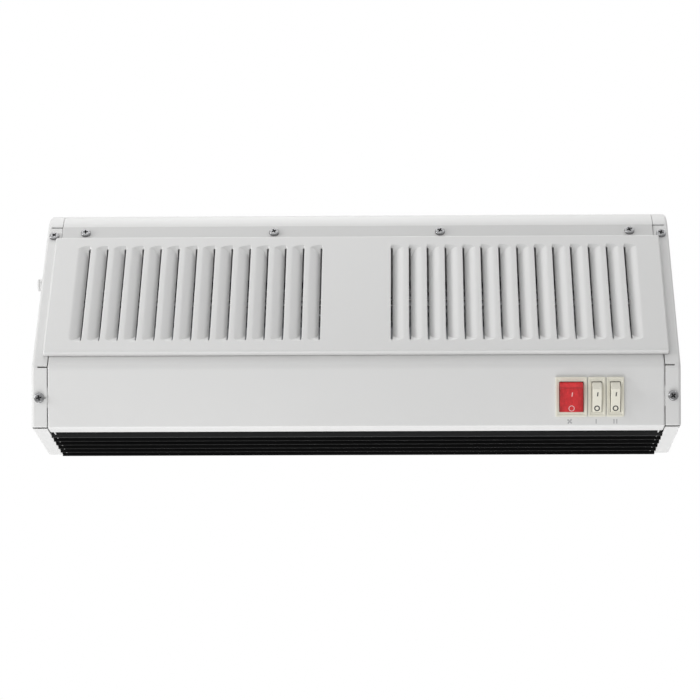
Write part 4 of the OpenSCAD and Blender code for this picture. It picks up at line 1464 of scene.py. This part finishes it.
class AIRCURTAIN_OT_stage(bpy.types.Operator):
    """Lays the floor, hangs the lamps and sets the camera"""

    bl_idname = "aircurtain.stage"
    bl_label = "Stage"

    eye = Vector((0.0408543, -2.1336440, UNDERSIDE - 0.4487030))
    right = Vector((0.9997586, 0.0219299, 0.0013456))
    up = Vector((0.0040483, -0.2440591, 0.9697519))
    # each lamp's place, the point that it is aimed at, and its size
    lamps = {
        "side": ((-1.9, -0.65, 0.28), (0, -0.08, -0.03), (0.7, 0.8)),
        "top": ((-0.25, 0.17, 1.56), (0, -0.06, 0), (1.8, 1.4)),
        "high_right": ((1.1, -0.3, 1.3), (0, -0.08, -0.03), (0.8, 0.8)),
        "high_front": ((0, -1.3, 1.3), (0, -0.08, -0.03), (1, 1)),
        "front": ((-0.9, -1.6, 0.1), (0, -0.08, -0.03), (1, 1)),
        "low": ((-0.2, -0.4, -1.15), (0, -0.06, -0.06), (1.3, 0.6)),
        "back": ((0.3, 2.0, 0.2), (0, 0, -0.06), (1.2, 1.2)),
    }

    def floor(self):
        stage = settings().stage
        floor = new_plane("floor", (0, 0, UNDERSIDE - stage.floor_drop), (14, 14))
        finish = Finish("pale_floor", Roughness=0.6, Emission_Color=(1, 1, 1, 1),
                        Emission_Strength=stage.floor_glow)
        finish.set("Base Color", finish.blend(
            finish.noise(1.5), (0.86, 0.86, 0.86), (0.89, 0.89, 0.89)))
        floor.data.materials.append(finish.material)

    def lamp(self, name, spot, aim, size):
        clear_selection()
        bpy.ops.object.light_add(type="AREA", location=spot)
        lamp = bpy.context.object
        lamp.name = name + "_lamp"
        lamp.data.shape = "RECTANGLE"
        lamp.data.size, lamp.data.size_y = size
        lamp.data.energy = getattr(settings().stage, name + "_power")
        lamp.rotation_euler = (Vector(aim) - Vector(spot)).to_track_quat("-Z", "Y").to_euler()

    def room(self):
        """White to the camera and in reflections, and a softer light for the rest."""
        world = bpy.context.scene.world or bpy.data.worlds.new("room")
        bpy.context.scene.world = world
        world.use_nodes = True
        nodes, links = world.node_tree.nodes, world.node_tree.links
        nodes.clear()
        path, seen, fill, mix, output = (nodes.new("ShaderNode" + kind) for kind in (
            "LightPath", "Background", "Background", "MixShader", "OutputWorld"))
        seen.inputs["Color"].default_value = (1, 1, 1, 1)
        fill.inputs["Strength"].default_value = settings().stage.fill_level
        white = path.outputs["Is Camera Ray"]
        for ray in ("Is Glossy Ray", "Is Transmission Ray"):
            either = nodes.new("ShaderNodeMath")
            either.operation = "MAXIMUM"
            links.new(white, either.inputs[0])
            links.new(path.outputs[ray], either.inputs[1])
            white = either.outputs[0]
        for socket, source in zip(mix.inputs, (white, fill.outputs[0], seen.outputs[0])):
            links.new(source, socket)
        links.new(mix.outputs[0], output.inputs[0])

    def camera(self):
        clear_selection()
        bpy.ops.object.camera_add(location=self.eye)
        camera = bpy.context.object
        camera.name = "photo_camera"
        camera.data.sensor_width = 36
        camera.data.lens = settings().stage.focal_length
        camera.data.clip_start, camera.data.clip_end = 0.05, 60
        away = self.right.cross(self.up)
        camera.rotation_euler = Matrix((self.right, self.up, away)).transposed().to_euler()
        bpy.context.scene.camera = camera

    def execute(self, context):
        self.floor()
        for name, row in self.lamps.items():
            self.lamp(name, *row)
        self.room()
        self.camera()
        context.scene.view_settings.view_transform = "Standard"
        return {"FINISHED"}


class AIRCURTAIN_PT_panel(bpy.types.Panel):
    """Lists the steps in their order"""

    bl_idname = "AIRCURTAIN_PT_panel"
    bl_label = "Air Curtain"
    bl_space_type = "VIEW_3D"
    bl_region_type = "UI"
    bl_category = "Air Curtain"

    def draw(self, context):
        for step in STEPS:
            self.layout.operator(step.bl_idname)


STEPS = (
    AIRCURTAIN_OT_finishes, AIRCURTAIN_OT_rear_casing, AIRCURTAIN_OT_louvre_panel,
    AIRCURTAIN_OT_front_panel, AIRCURTAIN_OT_end_caps, AIRCURTAIN_OT_switch_bezels,
    AIRCURTAIN_OT_rockers, AIRCURTAIN_OT_marks, AIRCURTAIN_OT_screws,
    AIRCURTAIN_OT_cable_bush, AIRCURTAIN_OT_stage)
GROUPS = (
    CasingSizes, LouvreSizes, SwitchSizes, ScrewSizes, FinishColours, StageSettings,
    AirCurtainSettings)


def register():
    for item in (*GROUPS, *STEPS, AIRCURTAIN_PT_panel):
        bpy.utils.register_class(item)
    bpy.types.Scene.air_curtain = PointerProperty(type=AirCurtainSettings)


def unregister():
    del bpy.types.Scene.air_curtain
    for item in reversed((*GROUPS, *STEPS, AIRCURTAIN_PT_panel)):
        bpy.utils.unregister_class(item)


def main():
    register()
    for step in STEPS:
        group, name = step.bl_idname.split(".")
        getattr(getattr(bpy.ops, group), name)()


if __name__ == "__main__":
    main()
